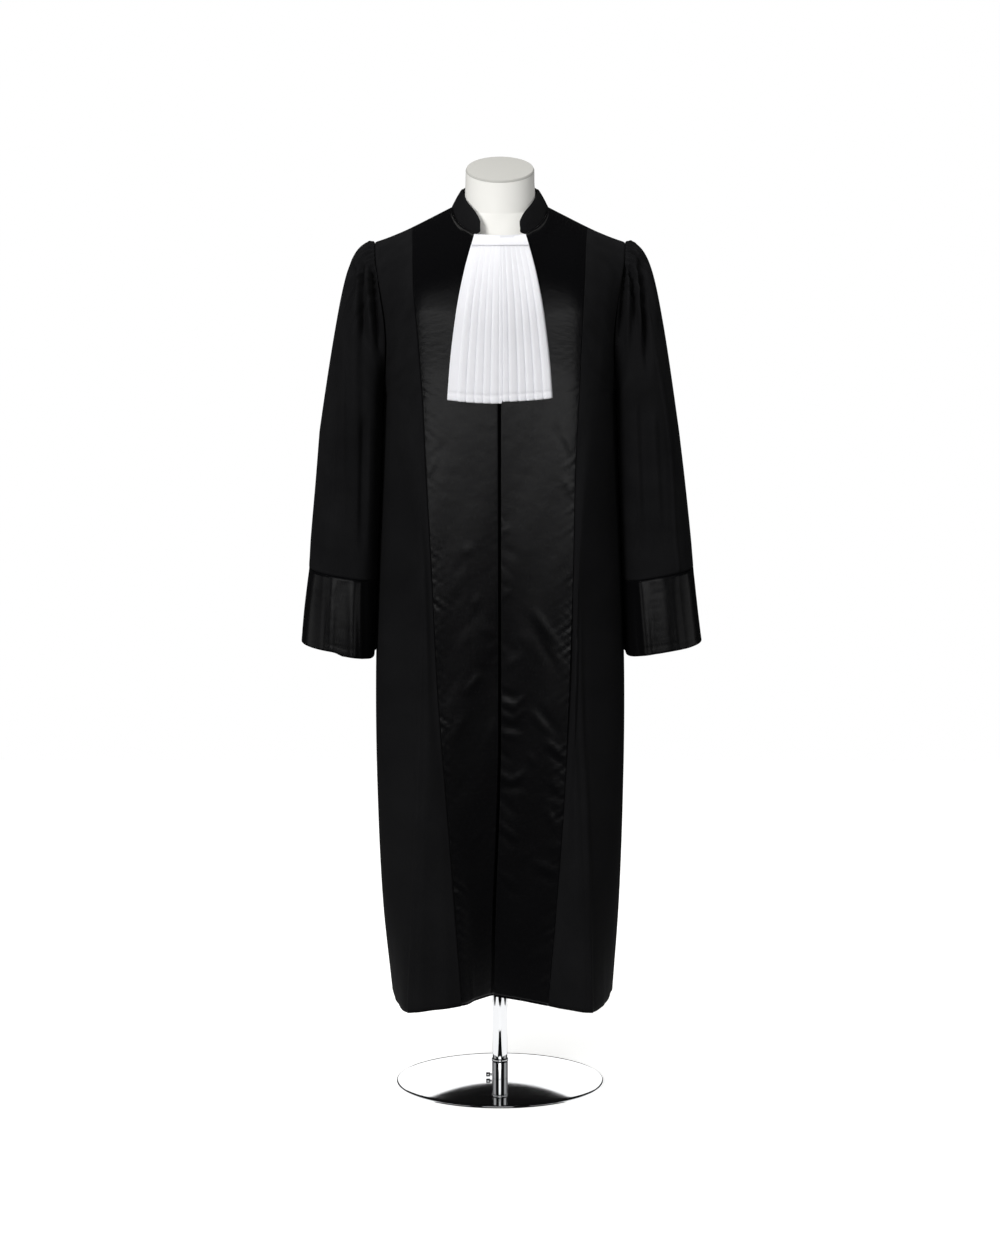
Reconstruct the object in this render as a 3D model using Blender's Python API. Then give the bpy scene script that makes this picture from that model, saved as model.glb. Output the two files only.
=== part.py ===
"""A judicial robe with satin fronts and cuffs, a stand collar and a pleated jabot, on a limbless dress form.

Metres, +Z up. The front faces -Y, the wearer's left is +X, and the origin is on the floor under the pole.
Every cloth piece is a wall cut from one smooth body or sleeve surface, with a narrow gap at each seam.
"""

from bisect import bisect_right
from collections import namedtuple
from math import cos, pi, radians, sin, sqrt, tan

import bmesh
import bpy
from mathutils import Matrix, Vector

for old in list(bpy.data.objects):
    bpy.data.objects.remove(old, do_unlink=True)

RIGHT, LEFT = -1, 1  # the wearer's sides, as the sign of X
FRONT, BACK = -1, 1  # as the sign of Y

# Cloth
WOOL = 0.0018
SATIN = 0.0016
COLLAR_WALL = 0.0022
SEAM_GAP = 0.0003
SHOULDER_GAP = 0.0005
PANEL_GAP = 0.0004
SIDE_GAP = 0.0005
COLLAR_LIFT = 0.0029
ARMHOLE_GAP = 0.0008

# Body of the robe
ARM_TOP = 1.536
ARM_LOW = 1.270
ARM_FRONT = 0.088
ARM_BACK = 0.095
SHOULDER_ROUND = 0.17
SEAM_U = 0.5
NECK_U = 0.29
OPENING = 0.003
TUCK = 0.004
ARM_ROWS = 12
SKIRT_ROWS = 11
BACK_FLUTES = 5
BACK_FLUTE_DEPTH = 0.011

# Sleeves and cuffs
SLEEVE_RING = 48
HEAD_ROWS = 7
SLEEVE_ROWS = 4
CUFF_RING = 32
CUFF_ROWS = 3
HEAD_LEVEL = 1.20
CUFF_SEAM = 0.9485
CUFF_HEM = 0.8105
CUFF_SLANT = 0.17
GATHERS = 24  # round the whole ring; only those over the shoulder are deep
GATHER_DEPTH = 0.0030
SLEEVE_SQUARE = 0.75  # 1 is an ellipse; less fills its corners
SLEEVE_FLAT = 0.55  # the same, for the half next to the body
CUFF_MIDDLE = 0.285
HEAD_OUT_TOP = 0.050  # how far the head leaves the armhole sideways, over the shoulder
HEAD_OUT_LOW = 0.003  # and under the arm
HEAD_DROP = 0.020
HEAD_FULL = 0.240  # how far the hanging sleeve's line is led up into the head
HEAD_LEAN = 0.035
UNDERARM_GAP = 0.0012

# Jabot
PLEATS = 12
PLEAT_DEPTH = 0.0034
LINEN = 0.0011
JABOT_LOW = 1.2635
JABOT_TOP = 1.5360
JABOT_CORNER_RISE = 0.006
CHEST_LOW = 1.34
CHEST_HIGH = 1.48
BAND_HEIGHT = 0.0135
BAND_WALL = 0.0026
BAND_OFF = 0.0088
BAND_GAP = 0.0024
BAND_CURVE = 0.002
ON_CLOTH = 0.0005
OFF_CHEST = 0.0028

# Stand
BASE_RADIUS = 0.190
BASE_THICK = 0.0065
BASE_EDGE = 0.0025
POLE_RADIUS = 0.01345
SOCKET_RADIUS = 0.01430
RING_RADIUS = 0.01530
SOCKET_TOP = 0.0370
RING_TOP = 0.0445
SCREW_Z = 0.0125
FORM_LOW = 0.800
NECK_TILT = radians(20.6)
CAP_THICK = 0.004

Level = namedtuple(
    "Level",
    "z right_x left_x seam_right seam_left centre_y seam_y crease_x crease_y flank_in flank_y spine_y",
)
# Outline of the hanging body, one row a height, from the hem up.
LEVELS = [
    Level(0.17, 0.196, 0.205, 0.068, 0.085, -0.162, -0.186, 0.161, -0.204, 0.012, -0.105, 0.160),
    Level(0.34, 0.213, 0.2165, 0.080, 0.100, -0.166, -0.182, 0.154, -0.197, 0.012, -0.105, 0.154),
    Level(0.54, 0.2218, 0.223, 0.095, 0.1136, -0.167, -0.178, 0.146, -0.189, 0.012, -0.105, 0.147),
    Level(0.74, 0.224, 0.2245, 0.110, 0.123, -0.166, -0.173, 0.141, -0.178, 0.013, -0.100, 0.140),
    Level(0.97, 0.2185, 0.2185, 0.1215, 0.130, -0.164, -0.167, 0.146, -0.166, 0.014, -0.095, 0.134),
    Level(1.14, 0.212, 0.212, 0.1306, 0.1335, -0.160, -0.160, 0.160, -0.150, 0.014, -0.092, 0.129),
    Level(1.27, 0.207, 0.207, 0.137, 0.140, -0.157, -0.153, 0.172, -0.136, 0.012, -0.092, 0.128),
    Level(1.36, 0.2015, 0.2015, 0.1442, 0.144, -0.154, -0.147, 0.176, -0.128, 0.009, -0.108, 0.128),
    Level(1.46, 0.2125, 0.2125, 0.1533, 0.1493, -0.150, -0.140, 0.186, -0.118, 0.010, -0.100, 0.124),
    Level(1.56, 0.2225, 0.2225, 0.158, 0.154, -0.147, -0.134, 0.192, -0.105, 0.012, -0.090, 0.118),
]

Edge = namedtuple("Edge", "u x y z")
# The neckline from the centre to the side of the neck, then the shoulder seam out to the sleeve.
NECKLINE = {
    FRONT: [
        Edge(0.00, 0.0012, -0.105, 1.545),
        Edge(0.10, 0.036, -0.092, 1.549),
        Edge(0.16, 0.055, -0.075, 1.559),
        Edge(0.21, 0.069, -0.058, 1.568),
        Edge(0.25, 0.0804, -0.034, 1.5815),
        Edge(NECK_U, 0.0856, 0.000, 1.598),
    ],
    BACK: [
        Edge(0.00, 0.000, 0.070, 1.615),
        Edge(0.10, 0.036, 0.065, 1.6135),
        Edge(0.18, 0.064, 0.049, 1.609),
        Edge(0.24, 0.079, 0.027, 1.603),
        Edge(NECK_U, 0.0856, 0.000, 1.598),
    ],
}
SHOULDER = [
    Edge(NECK_U, 0.0856, 0.0, 1.598),
    Edge(SEAM_U, 0.1560, 0.0, 1.5625),
    Edge(0.70, 0.1880, 0.0, 1.5484),
    Edge(0.86, 0.2075, 0.0, 1.5410),
    Edge(1.00, 0.2225, 0.0, ARM_TOP),
]

Hem = namedtuple("Hem", "u front_z back_z")
HEM = [
    Hem(0.00, 0.1990, 0.1740),
    Hem(0.25, 0.1930, 0.1745),
    Hem(SEAM_U, 0.1865, 0.1750),
    Hem(0.70, 0.1790, 0.1740),
    Hem(0.86, 0.1750, 0.1730),
    Hem(1.00, 0.1725, 0.1725),
]

Opening = namedtuple("Opening", "z x")
# The line where the wearer's left front lies over the right one.
OPENING_LINE = [
    Opening(0.17, -0.0138),
    Opening(0.36, -0.0105),
    Opening(0.47, -0.0062),
    Opening(0.56, -0.0032),
    Opening(0.66, -0.0010),
    Opening(1.25, -0.0012),
    Opening(1.55, 0.0000),
]

ArmX = namedtuple("ArmX", "z x")
ARMHOLE_X = [
    ArmX(1.270, 0.2070),
    ArmX(1.320, 0.2030),
    ArmX(1.359, 0.2015),
    ArmX(1.396, 0.2035),
    ArmX(1.445, 0.2100),
    ArmX(1.482, 0.2157),
    ArmX(1.506, 0.2190),
    ArmX(ARM_TOP, 0.2200),
]

SleeveLevel = namedtuple("SleeveLevel", "z outer_right outer_left inner front_y back_y")
# The hanging sleeve and cuff, one row a height, from the cuff's hem up.
SLEEVE = [
    SleeveLevel(0.79, 0.3600, 0.3665, 0.2275, -0.110, 0.104),
    SleeveLevel(0.865, 0.3533, 0.3569, 0.2236, -0.106, 0.102),
    SleeveLevel(0.95, 0.3432, 0.3476, 0.2205, -0.101, 0.100),
    SleeveLevel(1.00, 0.3398, 0.3433, 0.2188, -0.099, 0.099),
    SleeveLevel(1.11, 0.3300, 0.3318, 0.2142, -0.097, 0.098),
    SleeveLevel(1.20, 0.3225, 0.3210, 0.2110, -0.096, 0.098),
]

Fold = namedtuple("Fold", "angle top_z low_z width depth")
# Soft troughs (negative) and ridges (positive) down the sleeve, by their place round the ring in degrees.
SLEEVE_FOLDS = [
    Fold(30, 1.51, 1.33, 9, -0.006),
    Fold(66, 1.49, 1.30, 9, -0.006),
    Fold(88, 1.38, 0.97, 12, 0.004),
    Fold(126, 1.34, 1.00, 14, -0.004),
    Fold(-34, 1.51, 1.31, 10, -0.006),
    Fold(-72, 1.47, 1.25, 11, -0.006),
    Fold(-100, 1.34, 0.98, 14, 0.004),
]

Width = namedtuple("Width", "z half")
JABOT_WIDTH = [
    Width(1.260, 0.0927),
    Width(1.281, 0.0915),
    Width(1.334, 0.0873),
    Width(1.386, 0.0813),
    Width(1.439, 0.0735),
    Width(1.492, 0.0624),
    Width(1.527, 0.0530),
    Width(1.552, 0.0455),
]

CollarTop = namedtuple("CollarTop", "face u x y z")
# The stand collar's upper edge, above each of the neckline's stops, from its front corner to the centre back.
COLLAR_TOP = [
    CollarTop(FRONT, 0.100, 0.0343, -0.0800, 1.5680),
    CollarTop(FRONT, 0.115, 0.0352, -0.0745, 1.5765),
    CollarTop(FRONT, 0.150, 0.0430, -0.0625, 1.5905),
    CollarTop(FRONT, 0.200, 0.0535, -0.0475, 1.6025),
    CollarTop(FRONT, 0.235, 0.0605, -0.0310, 1.6110),
    CollarTop(FRONT, 0.265, 0.0652, -0.0150, 1.6200),
    CollarTop(FRONT, NECK_U, 0.0683, 0.0000, 1.6290),
    CollarTop(BACK, 0.260, 0.0660, 0.0180, 1.6300),
    CollarTop(BACK, 0.220, 0.0590, 0.0350, 1.6340),
    CollarTop(BACK, 0.170, 0.0470, 0.0500, 1.6385),
    CollarTop(BACK, 0.110, 0.0320, 0.0600, 1.6415),
    CollarTop(BACK, 0.055, 0.0160, 0.0645, 1.6430),
    CollarTop(BACK, 0.000, 0.0000, 0.0660, 1.6435),
]
# Where the columns of the fronts and the back fall, the neckline's stops among them.
SATIN_STOPS = [0.0, 0.05, 0.1, 0.115, 0.15, 0.2, 0.235, 0.265, NECK_U, 0.36, 0.43, SEAM_U]
FRONT_STOPS = [SEAM_U, 0.57, 0.635, 0.70, 0.76, 0.82, 0.88, 0.94, 1.0]
BACK_STOPS = [0.0, 0.07, 0.14, 0.2, 0.25, NECK_U, 0.38, 0.47, 0.56, 0.66, 0.76, 0.88, 1.0]

FormRing = namedtuple("FormRing", "z half_x front back lean tilt peak")
# Rings of the limbless form, from its underside up to the neck. Tilt is the ring's rise per metre of depth;
# a peak over 1 draws its front to a point under the throat.
FORM = [
    FormRing(FORM_LOW, 0.142, 0.098, 0.098, 0.0, 0.0, 1.0),
    FormRing(FORM_LOW + 0.012, 0.156, 0.110, 0.108, 0.0, 0.0, 1.0),
    FormRing(0.860, 0.168, 0.118, 0.114, 0.0, 0.0, 1.0),
    FormRing(0.930, 0.170, 0.116, 0.112, 0.0, 0.0, 1.0),
    FormRing(1.030, 0.152, 0.102, 0.096, 0.0, 0.0, 1.0),
    FormRing(1.120, 0.138, 0.094, 0.088, 0.0, 0.0, 1.0),
    FormRing(1.220, 0.150, 0.106, 0.094, 0.0, 0.0, 1.0),
    FormRing(1.320, 0.166, 0.118, 0.100, 0.0, 0.0, 1.0),
    FormRing(1.400, 0.178, 0.112, 0.104, 0.0, 0.0, 1.0),
    FormRing(1.460, 0.188, 0.100, 0.098, 0.0, 0.0, 1.0),
    FormRing(1.510, 0.194, 0.088, 0.080, 0.0, 0.0, 1.2),
    FormRing(1.535, 0.1905, 0.076, 0.064, 0.0, 0.0, 1.6),
    FormRing(1.5464, 0.1855, 0.070, 0.040, 0.0, 0.0, 2.0),
    FormRing(1.5607, 0.1540, 0.065, 0.037, 0.0, 0.0, 2.0),
    FormRing(1.5770, 0.1205, 0.061, 0.037, 0.0, 0.03, 2.2),
    FormRing(1.5910, 0.0880, 0.058, 0.042, -0.001, 0.09, 1.9),
    FormRing(1.6040, 0.0660, 0.056, 0.053, -0.003, 0.22, 1.2),
    FormRing(1.6350, 0.0617, 0.056, 0.054, -0.004, 0.33, 1.0),
    FormRing(1.6648, 0.0610, 0.057, 0.055, -0.005, tan(NECK_TILT), 1.0),
]


def through(knots, values, at):
    """A smooth curve through the values, its slope at each knot taken from the knots beside it."""
    at = min(max(at, knots[0]), knots[-1])
    low = min(bisect_right(knots, at), len(knots) - 1) - 1
    span = knots[low + 1] - knots[low]
    t = (at - knots[low]) / span

    def slope(k):
        before, after = max(k - 1, 0), min(k + 1, len(knots) - 1)
        return (values[after] - values[before]) / (knots[after] - knots[before])

    rise = values[low + 1] - values[low]
    start = slope(low) * span
    end = slope(low + 1) * span
    return values[low] + start * t + (rise * 3 - start * 2 - end) * t**2 + (start + end - rise * 2) * t**3


def column(table, name, at, key="z"):
    """The named column of a table, read at a place along its key column."""
    return through([getattr(row, key) for row in table], [getattr(row, name) for row in table], at)


def mix(a, b, share):
    return a + (b - a) * share


def ease(t):
    t = min(max(t, 0.0), 1.0)
    return t * t * (3 - 2 * t)


def bump(distance, width):
    """A soft bell, 1 in the middle and 0 past the width."""
    t = min(abs(distance) / width, 1.0)
    return (1 - t * t) ** 2


def side_name(side):
    return "right" if side == RIGHT else "left"


def wall_object(name, material, columns, rows, place, wall=0.0, closed=False):
    """A grid whose points place(u, v) puts in space, thickened inward, or capped when it has no wall.

    Seen from outside, u runs to the right and v runs up.
    """
    bm = bmesh.new()
    bmesh.ops.create_grid(bm, x_segments=columns, y_segments=rows, size=0.5)
    for vert in bm.verts:
        vert.co = place(vert.co.x + 0.5, vert.co.y + 0.5)
    if closed:
        bmesh.ops.remove_doubles(bm, verts=bm.verts, dist=1e-6)
    if not wall:
        open_edges = [edge for edge in bm.edges if edge.is_boundary]
        bmesh.ops.holes_fill(bm, edges=open_edges, sides=0)
    piece = finished(name, material, bm)
    if wall:
        solid = piece.modifiers.new("Wall", "SOLIDIFY")
        solid.thickness = wall
        solid.offset = -1.0
    return piece


def finished(name, material, bm, sharp_degrees=40):
    """Turns the bmesh into a named object with its material, shaded smooth but for its sharp edges."""
    mesh = bpy.data.meshes.new(name)
    bm.to_mesh(mesh)
    bm.free()
    mesh.shade_smooth()
    mesh.set_sharp_from_angle(angle=radians(sharp_degrees))
    mesh.materials.append(material)
    piece = bpy.data.objects.new(name, mesh)
    bpy.context.scene.collection.objects.link(piece)
    return piece


def new_material(name, colour, roughness, metallic=0.0):
    made = bpy.data.materials.new(name)
    made.use_nodes = True
    shader = made.node_tree.nodes["Principled BSDF"]
    shader.inputs["Base Color"].default_value = (*colour, 1.0)
    shader.inputs["Roughness"].default_value = roughness
    shader.inputs["Metallic"].default_value = metallic
    return made


WOOL_CLOTH = new_material("black_matte_cloth", (0.012, 0.012, 0.014), 0.85)
SATIN_CLOTH = new_material("black_satin", (0.014, 0.014, 0.016), 0.35)
WHITE_CLOTH = new_material("white_pleated_cloth", (0.86, 0.86, 0.88), 0.8)
FORM_SHELL = new_material("white_moulded_shell", (0.82, 0.82, 0.80), 0.5)
CAP_PAINT = new_material("grey_cap", (0.52, 0.53, 0.55), 0.5)
CHROME = new_material("polished_chrome", (0.80, 0.80, 0.82), 0.06, metallic=1.0)


def armhole(angle):
    """The armhole seam on the +X side: angle 0 at the shoulder, pi / 2 in front, pi under the arm."""
    z = (ARM_TOP + ARM_LOW) / 2 + (ARM_TOP - ARM_LOW) / 2 * cos(angle)
    reach = ARM_FRONT if sin(angle) > 0 else ARM_BACK
    rounded = abs(sin(angle)) if cos(angle) > 0 else 1.0
    return Vector((mix(SHOULDER[-1].x, column(ARMHOLE_X, "x", z), rounded), -reach * sin(angle), z))


def side_edge(side, face, z):
    """Where a section ends at height z: under the rounding of the shoulder, the armhole or the side seam."""
    if z < ARM_LOW:
        return Vector((column(LEVELS, side_name(side) + "_x", z), 0.0))
    reach = ARM_FRONT if face == FRONT else ARM_BACK
    share = (ARM_TOP + ARM_LOW - 2 * z) / (ARM_TOP - ARM_LOW)
    below_middle = min(max(share, 0.0), 1.0)
    return Vector((column(ARMHOLE_X, "x", z), face * reach * sqrt(1 - below_middle**2)))


def front_section(side, u, z):
    """The front's horizontal section at height z, from the opening (u 0) to the side edge (u 1)."""
    edge = side_edge(side, FRONT, z)
    seam_x = column(LEVELS, "seam_" + side_name(side), z)
    seam_y = column(LEVELS, "seam_y", z)
    centre_y = column(LEVELS, "centre_y", z)
    opening = side * column(OPENING_LINE, "x", z)
    if side == RIGHT:
        opening += OPENING
        centre_y += TUCK * ease((1.2 - z) / 0.5)
    places = [
        Vector((opening, centre_y)),
        Vector((mix(opening, seam_x, 0.5), mix(centre_y, seam_y, 0.45))),
        Vector((seam_x, seam_y)),
        Vector((column(LEVELS, "crease_x", z), column(LEVELS, "crease_y", z))),
        Vector((edge.x - column(LEVELS, "flank_in", z), min(column(LEVELS, "flank_y", z), edge.y))),
        edge,
    ]
    return through([0.0, 0.25, SEAM_U, 0.7, 0.86, 1.0], places, u)


def back_section(side, u, z):
    """The back's horizontal section at height z, from the centre back (u 0) to the side edge (u 1)."""
    edge = side_edge(side, BACK, z)
    spine = column(LEVELS, "spine_y", z)
    flank = max(0.092, edge.y)
    places = [
        Vector((0.0, spine)),
        Vector((0.073, spine)),
        Vector((0.138, spine - 0.006)),
        Vector((0.174, spine - 0.024)),
        Vector((edge.x - 0.012, min(flank, spine - 0.03))),
        edge,
    ]
    section = through([0.0, 0.25, SEAM_U, 0.7, 0.86, 1.0], places, u)
    flute = cos(pi * BACK_FLUTES * u) * (1 - ease((u - 0.75) / 0.2))
    section.y += BACK_FLUTE_DEPTH * flute * ease((1.36 - z) / 1.0)
    return section


def top_edge(face, u):
    """The neckline up to the side of the neck, then the straight shoulder seam."""
    rows = NECKLINE[face] if u < NECK_U else SHOULDER
    point = Vector([column(rows, axis, u, key="u") for axis in "xyz"])
    point.y += face * SHOULDER_GAP
    return point


def body_at(side, face, u, z):
    """The robe's outer surface at height z, on the +X side."""
    top = top_edge(face, u)
    section = front_section(side, u, z) if face == FRONT else back_section(side, u, z)
    depth = mix(SHOULDER_ROUND, (ARM_TOP - ARM_LOW) / 2, ease(u))
    drop = min(max((top.z - z) / depth, 0.0), 1.0)
    rounded = sqrt(1 - (1 - drop) ** 2)
    return Vector((mix(top.x, section.x, rounded), mix(top.y, section.y, rounded), min(z, top.z)))


def body_point(side, face, u, v):
    """The outer surface by its place on the cloth: v is 0 at the hem and 1 at the neckline or shoulder."""
    underarm = SKIRT_ROWS / (SKIRT_ROWS + ARM_ROWS)
    if v < underarm:
        hem = column(HEM, "front_z" if face == FRONT else "back_z", u, key="u")
        z = mix(hem, ARM_LOW, v / underarm)
    else:
        down = (1 - v) / (1 - underarm)
        top = top_edge(face, u).z
        inner = top - (top - ARM_LOW) * (1 - cos(down * pi / 2))
        outer = top - (ARM_TOP - armhole(pi * down).z) * (top - ARM_LOW) / (ARM_TOP - ARM_LOW)
        z = mix(inner, outer, ease((u - 0.45) / 0.55))
    point = body_at(side, face, u, z)
    point.x *= side
    return point


def panel(name, cloth, side, stops, wall, place_on_seam):
    """A front panel of the given side, its columns at the stops."""
    last = len(stops) - 1

    def place(u, v):
        across = round((u if side == LEFT else 1 - u) * last)
        point = body_point(side, FRONT, stops[across], v)
        return place_on_seam(point, across == 0, across == last)

    wall_object(f"{name}_{side_name(side)}", cloth, last, SKIRT_ROWS + ARM_ROWS, place, wall)


def satin_front(side):
    """The satin panel down the centre front, from the neckline and half the shoulder to the hem."""

    def on_seam(point, first, last):
        point.x -= side * PANEL_GAP * last
        return point

    panel("satin_front", SATIN_CLOTH, side, SATIN_STOPS, SATIN, on_seam)


def side_front(side):
    """The matte panel from the satin's edge to the armhole and side seam."""

    def on_seam(point, first, last):
        point.x += side * PANEL_GAP * first
        point.y -= SIDE_GAP * last
        return point

    panel("front", WOOL_CLOTH, side, FRONT_STOPS, WOOL, on_seam)


def back_panel():
    """The back in one piece, from side seam to side seam."""
    last = len(BACK_STOPS) - 1

    def place(u, v):
        across = round((1 - 2 * u) * last)
        point = body_point(LEFT if across > 0 else RIGHT, BACK, BACK_STOPS[abs(across)], v)
        point.y += SIDE_GAP * (abs(across) == last)
        return point

    wall_object("back", WOOL_CLOTH, 2 * last, SKIRT_ROWS + ARM_ROWS, place, WOOL)


def collar():
    """The stand collar, open at the centre front, leaning in to the neck."""
    last = len(COLLAR_TOP) - 1

    def place(u, v):
        across = round((1 - 2 * u) * last)
        stop = COLLAR_TOP[last - abs(across)]
        seam = top_edge(stop.face, stop.u)
        seam.z += COLLAR_LIFT
        point = mix(seam, Vector((stop.x, stop.y, stop.z)), v)
        point.x *= LEFT if across > 0 else RIGHT
        return point

    wall_object("collar", WOOL_CLOTH, 2 * last, 3, place, COLLAR_WALL)


def sleeve_ring(side, angle, z):
    """The hanging sleeve's section at height z on the +X side, angle 0 outside and pi next to the body."""
    outer = column(SLEEVE, "outer_" + side_name(side), z)
    inner = column(SLEEVE, "inner", z)
    reach = column(SLEEVE, "front_y" if sin(angle) > 0 else "back_y", z)
    square = SLEEVE_SQUARE if cos(angle) > 0 else SLEEVE_FLAT
    across = abs(cos(angle)) ** square
    if cos(angle) < 0:
        across = -across
    x = (outer + inner) / 2 + (outer - inner) / 2 * across
    return Vector((x, reach * abs(sin(angle)) ** square, z))


def sleeve_fold(angle, z):
    """How far the folds and the gathers of the sleeve head stand out of, or into, the plain ring."""
    degrees = angle * 180 / pi
    degrees = degrees - 360 if degrees > 180 else degrees
    total = 0.0
    for fold in SLEEVE_FOLDS:
        middle = (fold.top_z + fold.low_z) / 2
        along = bump(z - middle, (fold.top_z - fold.low_z) / 2)
        total += fold.depth * bump(degrees - fold.angle, fold.width * 1.6) * along
    return total


def sleeve_point(side, angle, v):
    """The sleeve by its place on the cloth: v is 0 at the cuff's seam and 1 at the armhole."""
    head = SLEEVE_ROWS / (SLEEVE_ROWS + HEAD_ROWS)
    lift = (1 + cos(angle)) / 2
    if v < head:
        point = sleeve_ring(side, angle, mix(CUFF_SEAM, HEAD_LEVEL, v / head))
        point.z += CUFF_SLANT * (point.x - CUFF_MIDDLE) * (1 - v / head)
        gathers = 0.0
    else:
        t = (1 - v) / (1 - head)
        start = armhole(angle)
        start.x += ARMHOLE_GAP + UNDERARM_GAP * (1 - lift)
        end = sleeve_ring(side, angle, HEAD_LEVEL)
        out_x = mix(HEAD_OUT_LOW, HEAD_OUT_TOP, lift)
        out = start + Vector((out_x, -HEAD_OUT_LOW * sin(angle), -HEAD_DROP * (1 - lift)))
        above = end + Vector((-HEAD_LEAN * lift, 0.0, mix(0.03, HEAD_FULL, lift)))
        point = start * (1 - t) ** 3 + out * 3 * t * (1 - t) ** 2
        point += above * 3 * t * t * (1 - t) + end * t**3
        near_seam = ease(t / 0.08) * (1 - ease((t - 0.08) / 0.35))
        gathers = GATHER_DEPTH * near_seam * ease((lift - 0.55) / 0.3) * cos(angle * GATHERS)
    head_middle = mix(sleeve_ring(side, 0, HEAD_LEVEL).x, sleeve_ring(side, pi, HEAD_LEVEL).x, 0.5)
    outward = Vector((point.x - head_middle, point.y, 0.0)).normalized()
    point += outward * sleeve_fold(angle, point.z) * ease((1 - v) / 0.12)
    point += Vector((0.0, 0.0, gathers))
    point.x *= side
    return point


def round_tube(name, cloth, side, ring, rows, place, wall):
    """A closed tube of cloth round the arm; place takes the angle and v."""

    def at(u, v):
        turn = u if side == RIGHT else 1 - u
        return place(2 * pi * (turn % 1.0), v)

    wall_object(f"{name}_{side_name(side)}", cloth, ring, rows, at, wall, closed=True)


def sleeve(side):
    """The matte sleeve, gathered into the armhole and hanging straight to the cuff."""

    def place(angle, v):
        return sleeve_point(side, angle, v)

    round_tube("sleeve", WOOL_CLOTH, side, SLEEVE_RING, HEAD_ROWS + SLEEVE_ROWS, place, WOOL)


def cuff(side):
    """The deep satin cuff, which flares a little from its seam to its hem."""

    def place(angle, v):
        z = mix(CUFF_HEM, CUFF_SEAM - SEAM_GAP, v)
        point = sleeve_ring(side, angle, z)
        point.z += CUFF_SLANT * (point.x - CUFF_MIDDLE)
        point.x *= side
        return point

    round_tube("cuff", SATIN_CLOTH, side, CUFF_RING, CUFF_ROWS, place, SATIN)


def jabot_surface(x, z):
    """The robe's front under the jabot."""
    side = RIGHT if x < 0 else LEFT
    seam_x = column(LEVELS, "seam_" + side_name(side), z)
    return body_at(side, FRONT, SEAM_U * min(abs(x) / seam_x, 1.0), z)


def jabot():
    """The pleated jabot: each pleat's folded edge lies to the wearer's right, over the one before."""
    columns_per_pleat = 3
    folds = [0.0, 0.12, 0.56]

    def place(u, v):
        step = round(u * PLEATS * columns_per_pleat)
        pleat, part = divmod(step, columns_per_pleat)
        across = (pleat + folds[part]) / PLEATS
        height = [0.0, 1.0, 0.5][part]
        z = mix(JABOT_LOW + JABOT_CORNER_RISE * (2 * across - 1) ** 2, JABOT_TOP, v)
        x = column(JABOT_WIDTH, "half", z) * (2 * across - 1)
        clear = ON_CLOTH + OFF_CHEST * ease((z - CHEST_LOW) / (CHEST_HIGH - CHEST_LOW))
        y = jabot_surface(x, z).y - clear - LINEN - PLEAT_DEPTH * height
        return Vector((x, y, z))

    wall_object("jabot", WHITE_CLOTH, PLEATS * columns_per_pleat, 8, place, LINEN)


def jabot_band():
    """The plain band that holds the heads of the pleats."""

    def place(u, v):
        z = JABOT_TOP + BAND_GAP + BAND_HEIGHT * v + BAND_CURVE * (2 * u - 1) ** 2 * v
        x = column(JABOT_WIDTH, "half", z) * (2 * u - 1)
        return Vector((x, jabot_surface(x, z).y - BAND_OFF, z))

    wall_object("jabot_band", WHITE_CLOTH, 12, 2, place, BAND_WALL)


def form_torso():
    """The smooth limbless form with its short neck."""
    rings = len(FORM) - 1

    def place(u, v):
        ring = FORM[round(v * rings)]
        angle = 2 * pi * (u % 1.0)
        depth = -ring.front * sin(angle) ** ring.peak if sin(angle) > 0 else -ring.back * sin(angle)
        x = -ring.half_x * cos(angle)
        y = ring.lean + depth
        return Vector((x, y, ring.z + ring.tilt * y))

    wall_object("form_torso", FORM_SHELL, 32, rings, place, closed=True)


def neck_cap():
    """The grey cap on the neck, slanted forward with it."""
    ring = FORM[-1]
    bm = bmesh.new()
    bmesh.ops.create_cone(
        bm, cap_ends=True, segments=32, radius1=1.0, radius2=0.97, depth=CAP_THICK,
        matrix=Matrix.Translation((0, 0, CAP_THICK / 2)),
    )
    half_y = (ring.front + ring.back) / 2 / cos(NECK_TILT)
    middle_y = ring.lean + (ring.back - ring.front) / 2
    bmesh.ops.scale(bm, verts=bm.verts, vec=(ring.half_x, half_y, 1.0))
    bmesh.ops.rotate(bm, verts=bm.verts, matrix=Matrix.Rotation(NECK_TILT, 3, "X"))
    foot = Vector((0.0, middle_y, ring.z + ring.tilt * middle_y + SEAM_GAP))
    bmesh.ops.translate(bm, verts=bm.verts, vec=foot)
    finished("neck_cap", CAP_PAINT, bm)


def turned(name, low, high, radius, segments=24, edge=0.0):
    """A round upright chrome piece about the pole's axis, its rims rounded when edge is given."""
    bm = bmesh.new()
    bmesh.ops.create_cone(
        bm, cap_ends=True, segments=segments, radius1=radius, radius2=radius, depth=high - low,
        matrix=Matrix.Translation((0, 0, (low + high) / 2)),
    )
    if edge:
        rims = [e for e in bm.edges if abs(e.verts[0].co.z - e.verts[1].co.z) < 1e-6]
        bmesh.ops.bevel(
            bm, geom=rims, offset=edge, segments=2, profile=0.5, affect="EDGES", material=-1
        )
    return finished(name, CHROME, bm)


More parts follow.
